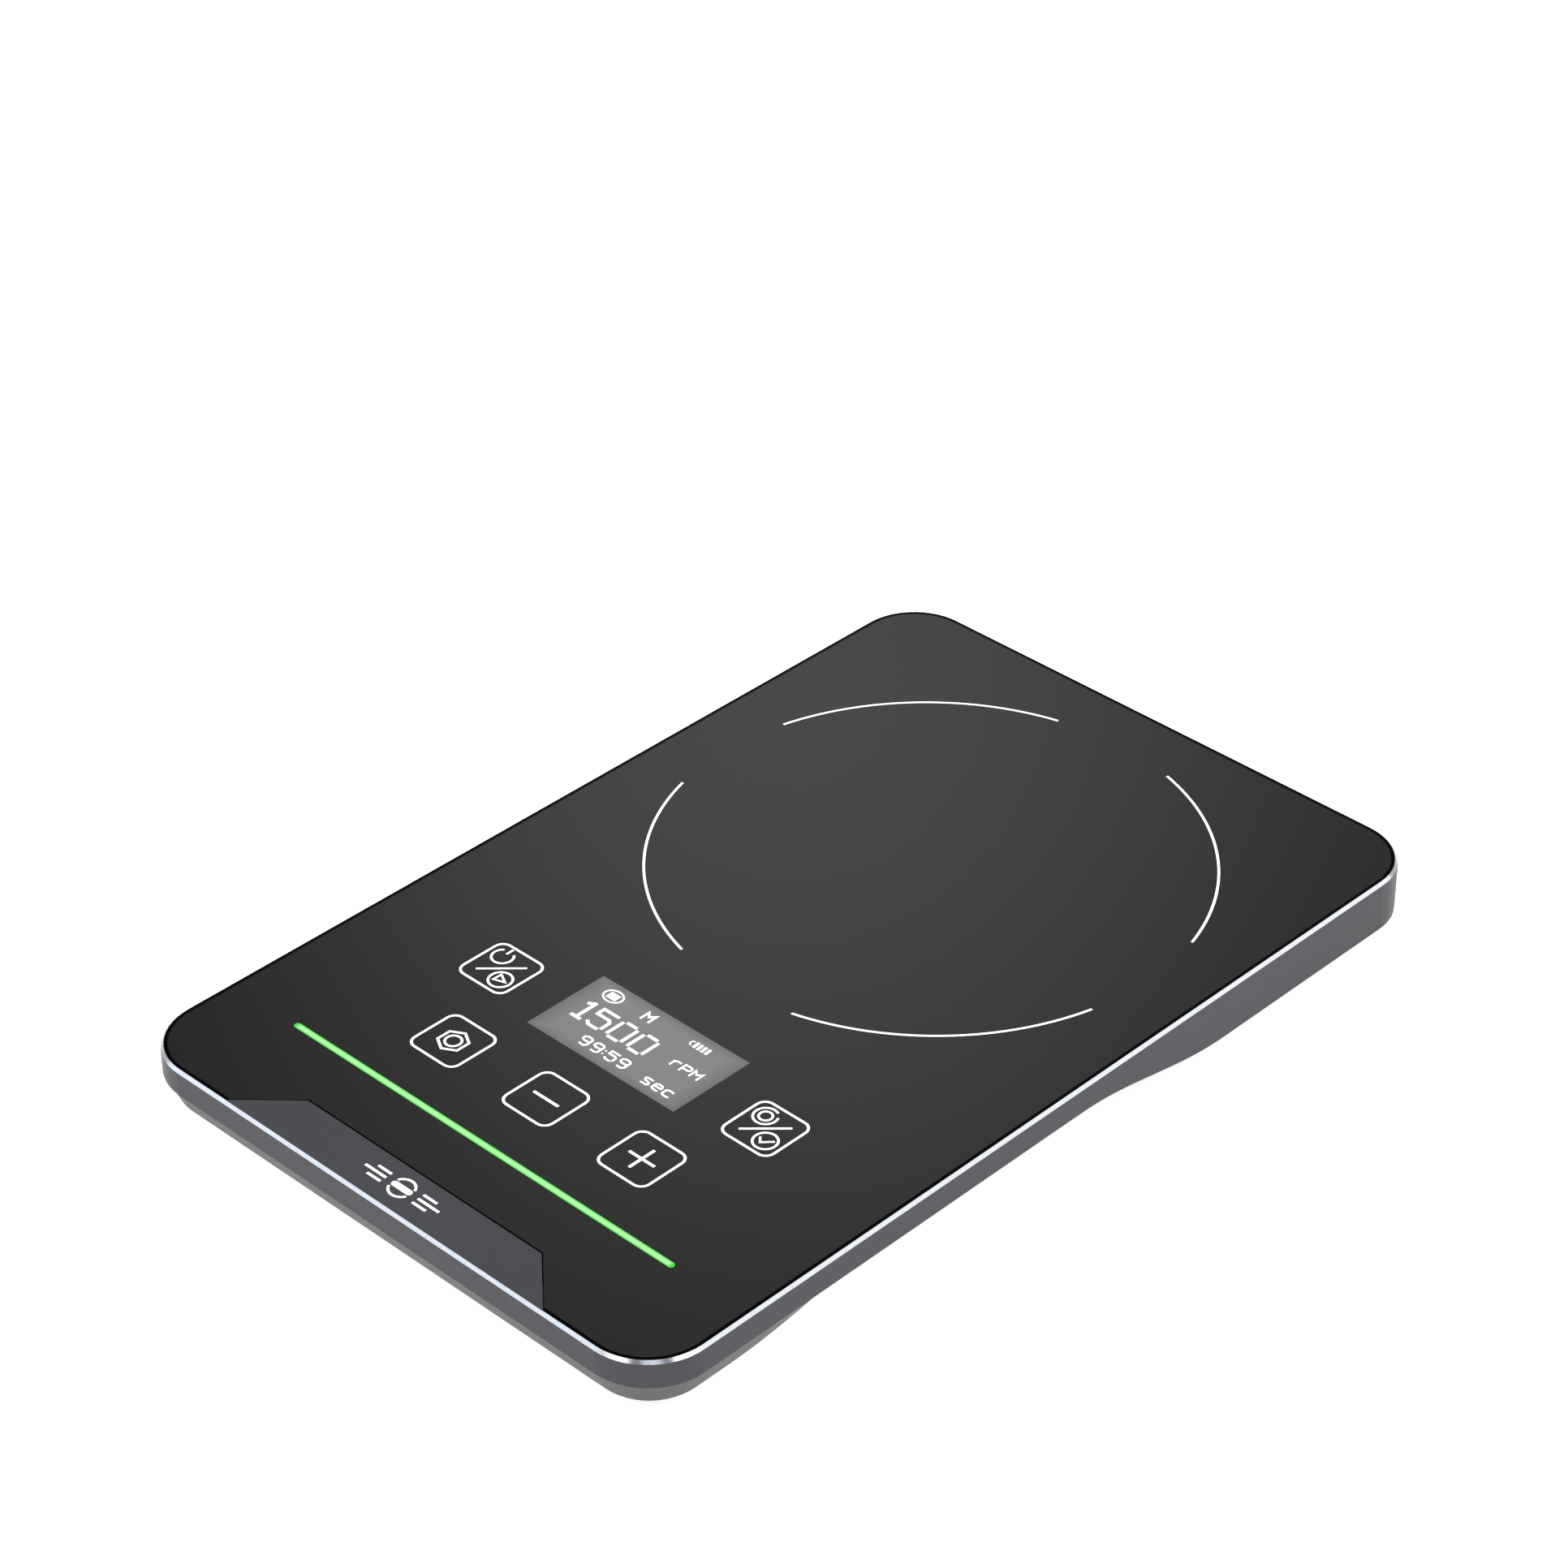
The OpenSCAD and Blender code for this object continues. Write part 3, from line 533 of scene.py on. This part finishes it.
def wound(name):
    """Enamelled copper wire, wound round the motor's teeth, with painted shade between the turns."""
    finish = Finish(name, metallic=1.0)
    wires = finish.bands(finish.motor_radius(), WIRE_PITCH)
    finish.mottle(wires, *WIRE_COPPER_AND_SHADE)
    finish.gloss(finish.noise(2), 0.22, 0.36)
    finish.bump(wires, depth=0.06, strength=0.8)
    return finish


def foil(name, colour):
    """Creased laminated foil."""
    finish = Finish(name, metallic=0.8)
    creases = finish.noise(7, detail=4)
    finish.mottle(creases, shade(colour, 0.8), shade(colour, 1.2))
    finish.gloss(finish.noise(3), 0.28, 0.45)
    finish.bump(creases, depth=0.25, strength=0.5)
    return finish


def black_glass():
    """Polished glass, printed black on its underside, with faint wipe marks, and a painted shade in black along
    its edge.
    """
    finish = Finish("black_glass")
    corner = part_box("top_glass")[1] / MM
    past_x = finish.beyond("X", corner.x - GLASS_R)
    past_y = finish.beyond("Y", corner.y - GLASS_R)
    edge = finish.past(finish.length(past_x, past_y), GLASS_R - GLASS_SHADE_BAND, GLASS_SHADE_BLUR)
    wipes = finish.noise(40, detail=4, stretch=(1, 0.35, 1))
    # The outer band is painted shade: black, and metallic so that it reflects nothing
    finish.mottle(edge, finish.blend(wipes, *GLASS_BLACK), EDGE_SHADE_BLACK)
    finish.metal(edge)
    finish.gloss(wipes, 0.03, 0.07)
    finish.bump(finish.noise(0.8), depth=0.0003, strength=0.15)
    return finish


def frame_metal():
    """Anodised grey metal, painted darker on the sides and lighter on the up-facing pad as painted shade and
    light, a bright machined chamfer, and a painted shadow in black along the gap round the glass.
    """
    finish = Finish("grey_metal")
    facing = finish.normal_z()
    height = finish.axis("Z")
    leaning = finish.between(facing, 0.35, 0.95, 0.03)
    near_top = finish.past(height, FRAME_TOP - CHAMFER_DEPTH, CHAMFER_BLUR)
    bright = finish.math("MULTIPLY", leaning, near_top)
    flat = finish.step(facing, 0.9, 0.97)
    gap_shadow = finish.past(height, FRAME_TOP - GAP_SHADOW_DEPTH, GAP_SHADOW_BLUR)

    cloud = finish.noise(25, detail=3)
    streaks = finish.noise(0.5, detail=3, stretch=(1, 1, 0.3))
    # One metal in two greys by which way the face points: the darker sides are painted shade, the lighter pad
    # painted light
    body = finish.blend(flat, finish.blend(cloud, *SIDE_SHADE_GREY), finish.blend(cloud, *PAD_LIT_GREY))
    machined = finish.blend(bright, body, finish.blend(streaks, *CUT_METAL))
    # The top edge by the glass is painted shadow: black, and fully metallic so that it reflects nothing
    finish.mottle(gap_shadow, machined, GAP_SHADOW_BLACK)
    finish.metal(finish.math("MAXIMUM", finish.scale(bright, 0.75, 1.0), gap_shadow))
    finish.gloss(bright, 0.46, 0.2)
    grit = finish.math("MULTIPLY", finish.noise(0.12), finish.inverse(bright))
    finish.bump(grit, depth=0.012, strength=0.5)
    return finish


def ridged_rubber():
    """Rubber feet with fine rings underneath."""
    finish = Finish("black_rubber")
    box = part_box("rubber_feet")
    from_x = finish.math("SUBTRACT", finish.away("X"), box[1].x / MM - FOOT_R)
    from_y = finish.math("SUBTRACT", finish.away("Y"), box[1].y / MM - FOOT_R)
    rings = finish.bands(finish.length(from_x, from_y), FOOT_RING_PITCH)
    cloud = finish.noise(6, detail=3)
    finish.mottle(cloud, *RUBBER_BLACK)
    finish.gloss(cloud, 0.6, 0.8)
    finish.bump(rings, depth=0.12, strength=0.6)
    return finish


def lit_film(name, strength):
    """Green light that is whiter along the middle of the strip and deep green at its round ends."""
    finish = Finish(name, coat=0.3)
    side = finish.step(finish.away("Y", STRIP_Y), STRIP_CORE, STRIP_W / 2)
    tip = finish.step(finish.away("X"), STRIP_L / 2 - TIP_FROM, STRIP_L / 2 - TIP_TO)
    light = finish.blend(side, finish.blend(finish.noise(6), *GREEN_CORE), GREEN_SIDE)
    finish.colour(GREEN_UNLIT)
    finish.glow(finish.blend(tip, light, GREEN_TIP), strength)
    finish.rough(0.3)
    return finish


def display_film():
    """The lit grey field of the display, a little darker along its edges, with a faint dot grid."""
    finish = Finish("display_film", coat=0.5)
    near_x = finish.step(finish.away("X", DISPLAY_X), DISPLAY_W / 2 - 3.5, DISPLAY_W / 2 + 0.5)
    near_y = finish.step(finish.away("Y", DISPLAY_Y), DISPLAY_L / 2 - 2.2, DISPLAY_L / 2 + 0.5)
    edge = finish.math("MAXIMUM", near_x, near_y)
    columns = finish.bands(finish.axis("X"), DOT_PITCH)
    rows = finish.bands(finish.axis("Y"), DOT_PITCH)
    dots = finish.scale(finish.math("MULTIPLY", columns, rows), 0.0, DOT_STRENGTH)
    field = finish.blend(edge, FIELD_GREY, FIELD_EDGE_GREY)
    finish.glow(finish.blend(dots, field, DOT_GREY), FIELD_GLOW)
    finish.colour(FIELD_UNLIT)
    finish.gloss(finish.noise(5), 0.12, 0.2)
    return finish


def glowing_white_ink(name):
    """Opaque white ink, with a little unevenness, that gives off light: painted light on the prints, the display's
    own light on the readout.
    """
    finish = Finish(name)
    cloud = finish.noise(0.6, detail=3)
    tint = finish.blend(cloud, *INK_WHITE)
    finish.colour(tint)
    # The glow: painted light on the glass and pad prints, real light on the lit readout
    finish.glow(tint, INK_GLOW)
    finish.gloss(cloud, 0.4, 0.55)
    return finish


# One finish for each material slot of the CAD model, by its name
FINISHES = {finish.name: finish for finish in (
    black_glass(),
    grained("black_foam", (0.012, 0.012, 0.012), 0.9, grain=0.4, relief=0.08),
    frame_metal(),
    grained("grey_plastic", (0.052, 0.0505, 0.048), 0.5, grain=0.22, relief=0.02, spread=0.05),
    turned("bare_aluminium", (0.6, 0.61, 0.62), 0.34),
    ridged_rubber(),
    grained("black_screws", (0.05, 0.05, 0.054), 0.36, metallic=0.9, grain=0.1),
    grained("steel_screws", (0.55, 0.56, 0.58), 0.3, metallic=1.0, grain=0.1),
    lit_film("light_guide", 0.7),
    grained("green_leds", (0.6, 0.95, 0.62), 0.2, grain=0.1, coat=0.6),
    circuit_board("green_board"),
    grained("copper", (0.78, 0.36, 0.18), 0.3, metallic=1.0, grain=0.2),
    grained("display_panel", (0.22, 0.22, 0.235), 0.15, relief=0.001, coat=0.6),
    grained("white_plastic", (0.8, 0.8, 0.77), 0.45),
    grained("black_chip", (0.02, 0.02, 0.022), 0.5, grain=0.12, relief=0.02),
    grained("tan_ceramic", (0.45, 0.33, 0.2), 0.4, grain=0.1),
    grained("ivory_plastic", (0.74, 0.7, 0.6), 0.42),
    foil("battery_foil", (0.5, 0.52, 0.54)),
    striped("red_lead", (0.6, 0.05, 0.03), (0.25, 0.02, 0.015), "Y", 1.2, 0.45),
    grained("black_lead", (0.02, 0.02, 0.02), 0.5, grain=0.5),
    brushed("steel_shell", (0.66, 0.67, 0.69), 0.26, (1, 6, 1)),
    striped("amber_flex", (0.62, 0.3, 0.07), (0.36, 0.15, 0.03), "X", 0.8, 0.35),
    striped("lamination_steel", (0.3, 0.31, 0.32), (0.1, 0.1, 0.11), "Z", 0.35, 0.4, metallic=0.9),
    turned("rotor_steel", (0.45, 0.46, 0.48), 0.36, pitch=0.5),
    grained("ferrite", (0.045, 0.045, 0.05), 0.6, metallic=0.3, grain=0.15, relief=0.03),
    brushed("nickel_plate", (0.72, 0.71, 0.69), 0.18, (3, 3, 1), grain=0.3),
)}
COIL_WIRE = wound("coil_wire")
# The prints are ink, so their glow is painted light
PRINT_WHITE_PAINTED_GLOW = glowing_white_ink("print_white_painted_glow")
READOUT_WHITE = glowing_white_ink("readout_white")


def dress_cad():
    """Gives each CAD node the finish of its material slot. The coils have a finish of their own."""
    slots = {part["node"]: part["material_slot"] for part in frame["record"]["subparts"]}
    for name, piece in nodes.items():
        finish = COIL_WIRE if name == "stator_coils" else FINISHES[slots[name]]
        for holder in piece.material_slots:
            holder.material = finish.material


# ---- Prints on the glass ----


def ring_print():
    """The ring that shows where the vessel stands, in four arcs."""
    ink = Print()
    for start, end in RING_ARCS:
        ink.stroke(arc_points((0, MOTOR_Y), RING_R, start, end, 2), FINE_LINE)
    ink.build("ring_print", PRINT_WHITE_PAINTED_GLOW)


def nut_sign(ink, x, y):
    """A hexagon round a circle, for the mode key."""
    ink.stroke(hexagon((x, y), HEXAGON_R), FINE_LINE, closed=True)
    ink.circle((x, y), HEXAGON_CORE_R, CORE_LINE)


def minus_sign(ink, x, y):
    """A level dash."""
    ink.stroke([(x - DASH_REACH, y), (x + DASH_REACH, y)], DASH_LINE)


def plus_sign(ink, x, y):
    """A level and an upright dash."""
    minus_sign(ink, x, y)
    ink.stroke([(x, y - DASH_REACH), (x, y + DASH_REACH)], DASH_LINE)


def slash_and_ring(ink, x, y):
    """A slash across the key, with a ring below it."""
    reach_x, reach_y = SLASH_REACH
    ink.stroke([(x - reach_x, y - reach_y), (x + reach_x, y + reach_y)], CORE_LINE)
    ink.circle((x + LOWER_SIGN[0], y + LOWER_SIGN[1]), LOWER_RING_R, RING_LINE)


def power_sign(ink, x, y):
    """On and off above the slash, start below it."""
    slash_and_ring(ink, x, y)
    ring_x, ring_y = x + POWER_RING[0], y + POWER_RING[1]
    ink.stroke(arc_points((ring_x, ring_y), POWER_RING_R, *POWER_SWEEP, step=8), RING_LINE)
    ink.stroke([(ring_x, ring_y + end) for end in POWER_BAR], RING_LINE)
    triangle = shifted(PLAY_SIGN, x + LOWER_SIGN[0], y + LOWER_SIGN[1])
    ink.stroke(triangle, PLAY_LINE, closed=True)


def timer_sign(ink, x, y):
    """Run mode above the slash, confirm below it."""
    slash_and_ring(ink, x, y)
    ring = (x + TIMER_RING[0], y + TIMER_RING[1])
    ink.stroke(arc_points(ring, TIMER_RING_R, *TIMER_SWEEP, step=8), RING_LINE)
    ink.circle(ring, TIMER_CORE_R, SMALL_LINE)
    ink.stroke(shifted(TICK_SIGN, x + LOWER_SIGN[0], y + LOWER_SIGN[1]), SMALL_LINE)


KEYS = [
    ("key_mode", -FRONT_KEY_PITCH, FRONT_KEYS_Y, nut_sign),
    ("key_minus", 0, FRONT_KEYS_Y, minus_sign),
    ("key_plus", FRONT_KEY_PITCH, FRONT_KEYS_Y, plus_sign),
    ("key_power", -REAR_KEYS_X, REAR_KEYS_Y, power_sign),
    ("key_timer", REAR_KEYS_X, REAR_KEYS_Y, timer_sign),
]


def touch_keys():
    """The five keys: a rounded box with a sign in it."""
    for name, x, y, draw_sign in KEYS:
        ink = Print()
        ink.stroke(rounded_square((x, y), KEY_SIDE, KEY_R), FINE_LINE, closed=True)
        draw_sign(ink, x, y)
        ink.build(name, PRINT_WHITE_PAINTED_GLOW)


def pad_mark():
    """A stir bar between two turning arcs, with speed lines at both sides, printed on the front pad."""
    ink = Print()
    ink.prism(capsule(PAD_MARK_Y, STIR_BAR_REACH, STIR_BAR_R))
    for start in TURN_STARTS:
        ink.stroke(arc_points((0, PAD_MARK_Y), TURN_R, start, start + TURN_SWEEP, 6), CORE_LINE)
    for side in (-1, 1):
        for row, far in SPEED_ROWS:
            ends = sorted((side * SPEED_FROM, side * far))
            ink.stroke([(end, PAD_MARK_Y + row) for end in ends], SPEED_LINE)
    ink.build("pad_mark", PRINT_WHITE_PAINTED_GLOW)


# ---- Display and light strip ----


# Strokes of each sign in a box of this width and height
GLYPH_W = 4
GLYPH_H = 6
GLYPHS = {
    "0": [[(0.6, 6), (3.4, 6)], [(4, 5.6), (4, 0.4)], [(3.4, 0), (0.6, 0)], [(0, 0.4), (0, 5.6)]],
    "1": [[(0.6, 5), (2, 5.9)], [(2, 6.3), (2, 0)], [(0.6, 0), (3.2, 0)]],
    "5": [[(4.2, 6), (0, 6), (0, 3.9), (3.3, 3.9), (4, 3.2), (4, 0.5)], [(3.6, 0), (1, 0), (0, 0.9)]],
    "9": [[(4, 3.2), (1, 3), (0, 3.8), (0, 5.2), (1, 6), (3, 6), (4, 5.2), (4, 1), (3, 0), (0.8, 0.2)]],
    ":": [[(2, 4.4), (2, 3.8)], [(2, 2), (2, 1.4)]],
    "r": [[(0.4, 0), (0.4, 5)], [(0.4, 3.8), (1.6, 5), (3.8, 5)]],
    "p": [[(0, 0), (0, 6), (3.2, 6), (4, 5.2), (4, 3.6), (3.2, 2.8), (0, 2.8)]],
    "m": [[(0, 0), (0, 6), (2, 3.4), (4, 6), (4, 0)]],
    "s": [[(4, 6), (0.8, 6), (0, 5.2), (0.6, 3.4), (3.4, 2.6), (4, 1), (3.2, 0), (0, 0)]],
    "e": [[(0, 3.2), (4, 3.2), (4, 5), (3, 6), (1, 6), (0, 5), (0, 1), (1, 0), (3.8, 0)]],
    "c": [[(4, 5.4), (3.2, 6), (1, 6), (0, 5), (0, 1), (1, 0), (3.2, 0), (4, 0.6)]],
}

# The readout: text, left end, base line, width and height of a sign, pitch, width of the line
READOUT = [
    ("1", -12.75, -35.8, 3.2, 4.2, 0, 0.6),
    ("500", -9.3, -35.8, 3.05, 4.2, 4.4, 0.56),
    ("99", -6.6, -39.9, 1.6, 2.0, 2.45, 0.34),
    (":", -2.6, -39.9, 1.6, 2.0, 2.45, 0.34),
    ("59", -1.05, -39.9, 1.6, 2.0, 2.45, 0.34),
    ("rpm", 7.05, -34.35, 1.5, 1.65, 2.1, 0.32),
    ("sec", 7.0, -40.1, 1.4, 1.4, 2.15, 0.32),
    ("m", -3.85, -29.5, 1.6, 1.9, 0, 0.4),
]


def write(ink, text, left, base, width, height, pitch, line):
    """Draws signs in a row, from their lower left corner."""
    for i, sign in enumerate(text):
        for path in GLYPHS[sign]:
            sized = [(px * width / GLYPH_W, py * height / GLYPH_H) for px, py in path]
            ink.stroke(shifted(sized, left + i * pitch, base), line)


def stop_sign(ink, x, y):
    """A filled square inside an oval ring."""
    ring = arc_points((0, 0), 1.0, 0, 360, 10)[:-1]
    oval = [(px * STOP_OVAL[0], py * STOP_OVAL[1]) for px, py in ring]
    ink.stroke(shifted(oval, x, y), STOP_LINE, closed=True)
    ink.prism(rectangle((x, y), *STOP_SQUARE))


def battery_sign(ink, x, y):
    """A round cap and four charge bars."""
    ink.stroke(arc_points((x + CAP_X, y), CAP_R, 90, 270, 20), CAP_LINE)
    for i in range(4):
        bar_x = x + BARS_FROM + i * BAR_PITCH
        ink.stroke([(bar_x - BAR_LEAN, y + BAR_REACH), (bar_x + BAR_LEAN, y - BAR_REACH)], BAR_LINE)


def display():
    """The lit field, and above it the readout in white."""
    field = Print()
    field.prism(rectangle((DISPLAY_X, DISPLAY_Y), DISPLAY_W / 2, DISPLAY_L / 2))
    glow = field.build("display_field", display_film())

    ink = Print(GLASS_TOP + PRINT_H)
    for row in READOUT:
        write(ink, *row)
    stop_sign(ink, *STOP_PLACE)
    battery_sign(ink, *BATTERY_PLACE)
    ink.build("display_readout", READOUT_WHITE)


def light_strip():
    """The lit green line in front of the keys."""
    strip = Print()
    strip.prism(capsule(STRIP_Y, (STRIP_L - STRIP_W) / 2, STRIP_W / 2))
    piece = strip.build("light_strip", lit_film("strip_light", 1.0))


# ---- Table, light and camera, in metres ----

TABLE_REACH = 5
TABLE_WHITE = ((0.88, 0.88, 0.88), (0.9, 0.9, 0.9))
TABLE_GLOW = 0.75

# The sky's greys by the height that a ray points at, a little bluish, and one soft glow behind
# the object
SKY_GREYS = [(0.0, 1.0), (0.4, 0.55), (0.5, 0.26), (0.6, 0.13), (1.0, 0.26)]
SKY_BLUE = 1.01
GLOW_WAY = (-0.570, 0.586, 0.576)
GLOW_TIGHTNESS = 150
GLOW_COLOUR = (0.67, 0.69, 0.66)

# The square lights: name, direction, distance, side in metres, power in watts, colour
LIGHTS = [
    ("left_front_light", (-0.58, -0.57, 0.59), 1.2, 0.8, 3.0, (0.86, 0.92, 1.0)),
    ("right_rear_light", (0.57, 0.59, 0.58), 1.2, 0.8, 3.0, (1, 1, 1)),
    ("overhead_light", (0.41, -0.39, 0.82), 1.4, 0.5, 1.7, (0.86, 0.9, 1.0)),
    ("corner_light_left", (-0.07, -0.64, 0.77), 1.2, 0.55, 3.6, (1, 1, 1)),
    ("corner_light_right", (0.65, 0.08, 0.76), 1.2, 0.55, 3.6, (1, 1, 1)),
]

# The camera: where it looks from, in degrees, how far away it is, and its lens in millimetres
CAMERA_AZIMUTH = 44.34
CAMERA_ELEVATION = 34.45
CAMERA_ROLL = -0.40
CAMERA_DISTANCE = 0.7293
CAMERA_TARGET = Vector((-0.03105, 0.02946, 0.012))
LENS = 104.3
SENSOR = 36
CLIP = (0.01, 50)


def table():
    """A plain white table that is brighter than the light on it, like the photo's background."""
    corners = [(x * TABLE_REACH, y * TABLE_REACH, 0) for x, y in ((-1, -1), (1, -1), (1, 1), (-1, 1))]
    mesh = bpy.data.meshes.new("table")
    mesh.from_pydata(corners, [], [(0, 1, 2, 3)])
    finish = Finish("table_white")
    finish.mottle(finish.noise(300), *TABLE_WHITE)
    finish.rough(0.9)
    finish.glow((1, 1, 1), TABLE_GLOW)
    mesh.materials.append(finish.material)
    top = bpy.data.objects.new("table", mesh)
    bpy.context.scene.collection.objects.link(top)


def sky():
    """A studio that is white near the horizon and greyer overhead, with one soft glow behind the object."""
    world = bpy.data.worlds.new("studio")
    bpy.context.scene.world = world
    world.use_nodes = True
    tree = world.node_tree
    background = tree.nodes["Background"]
    coords = tree.nodes.new("ShaderNodeTexCoord")
    split = tree.nodes.new("ShaderNodeSeparateXYZ")
    ramp = tree.nodes.new("ShaderNodeValToRGB")
    facing = tree.nodes.new("ShaderNodeVectorMath")
    facing.operation = "DOT_PRODUCT"
    facing.inputs[1].default_value = GLOW_WAY
    peak = tree.nodes.new("ShaderNodeMath")
    peak.operation = "POWER"
    peak.use_clamp = True
    peak.inputs[1].default_value = GLOW_TIGHTNESS
    add = tree.nodes.new("ShaderNodeMix")
    add.data_type = "RGBA"
    add.blend_type = "ADD"
    add.inputs[7].default_value = (*GLOW_COLOUR, 1)
    tree.links.new(coords.outputs["Generated"], split.inputs[0])
    tree.links.new(coords.outputs["Generated"], facing.inputs[0])
    tree.links.new(facing.outputs["Value"], peak.inputs[0])
    tree.links.new(split.outputs[2], ramp.inputs[0])
    tree.links.new(peak.outputs[0], add.inputs[0])
    tree.links.new(ramp.outputs[0], add.inputs[6])
    tree.links.new(add.outputs[2], background.inputs[0])
    stops = ramp.color_ramp.elements
    while len(stops) < len(SKY_GREYS):
        stops.new(0.5)
    for stop, (place, grey) in zip(stops, SKY_GREYS):
        stop.position = place
        stop.color = (grey, grey, grey * SKY_BLUE, 1)


def lights():
    """Square lights that shine on the stirrer."""
    for name, way, distance, side, power, colour in LIGHTS:
        lamp = bpy.data.lights.new(name, "AREA")
        lamp.shape = "SQUARE"
        lamp.size = side
        lamp.energy = power
        lamp.color = colour
        holder = bpy.data.objects.new(name, lamp)
        back = Vector(way).normalized()
        holder.location = back * distance
        holder.rotation_euler = back.to_track_quat("Z", "Y").to_euler()
        bpy.context.scene.collection.objects.link(holder)


def camera():
    """Looks down on the stirrer from its front right corner."""
    azimuth = math.radians(CAMERA_AZIMUTH)
    elevation = math.radians(CAMERA_ELEVATION)
    level = math.cos(elevation)
    back = Vector((math.sin(azimuth) * level, -math.cos(azimuth) * level, math.sin(elevation)))
    roll = Matrix.Rotation(math.radians(CAMERA_ROLL), 3, "Z")
    turn = (-back).to_track_quat("-Z", "Y").to_matrix() @ roll
    lens = bpy.data.cameras.new("camera")
    lens.lens = LENS
    lens.sensor_width = SENSOR
    lens.clip_start, lens.clip_end = CLIP
    holder = bpy.data.objects.new("camera", lens)
    holder.matrix_world = Matrix.Translation(CAMERA_TARGET + back * CAMERA_DISTANCE) @ turn.to_4x4()
    bpy.context.scene.collection.objects.link(holder)
    bpy.context.scene.camera = holder


camera()
table()
sky()
lights()
dress_cad()
ring_print()
touch_keys()
pad_mark()
display()
light_strip()
bpy.context.scene.view_settings.view_transform = "Standard"
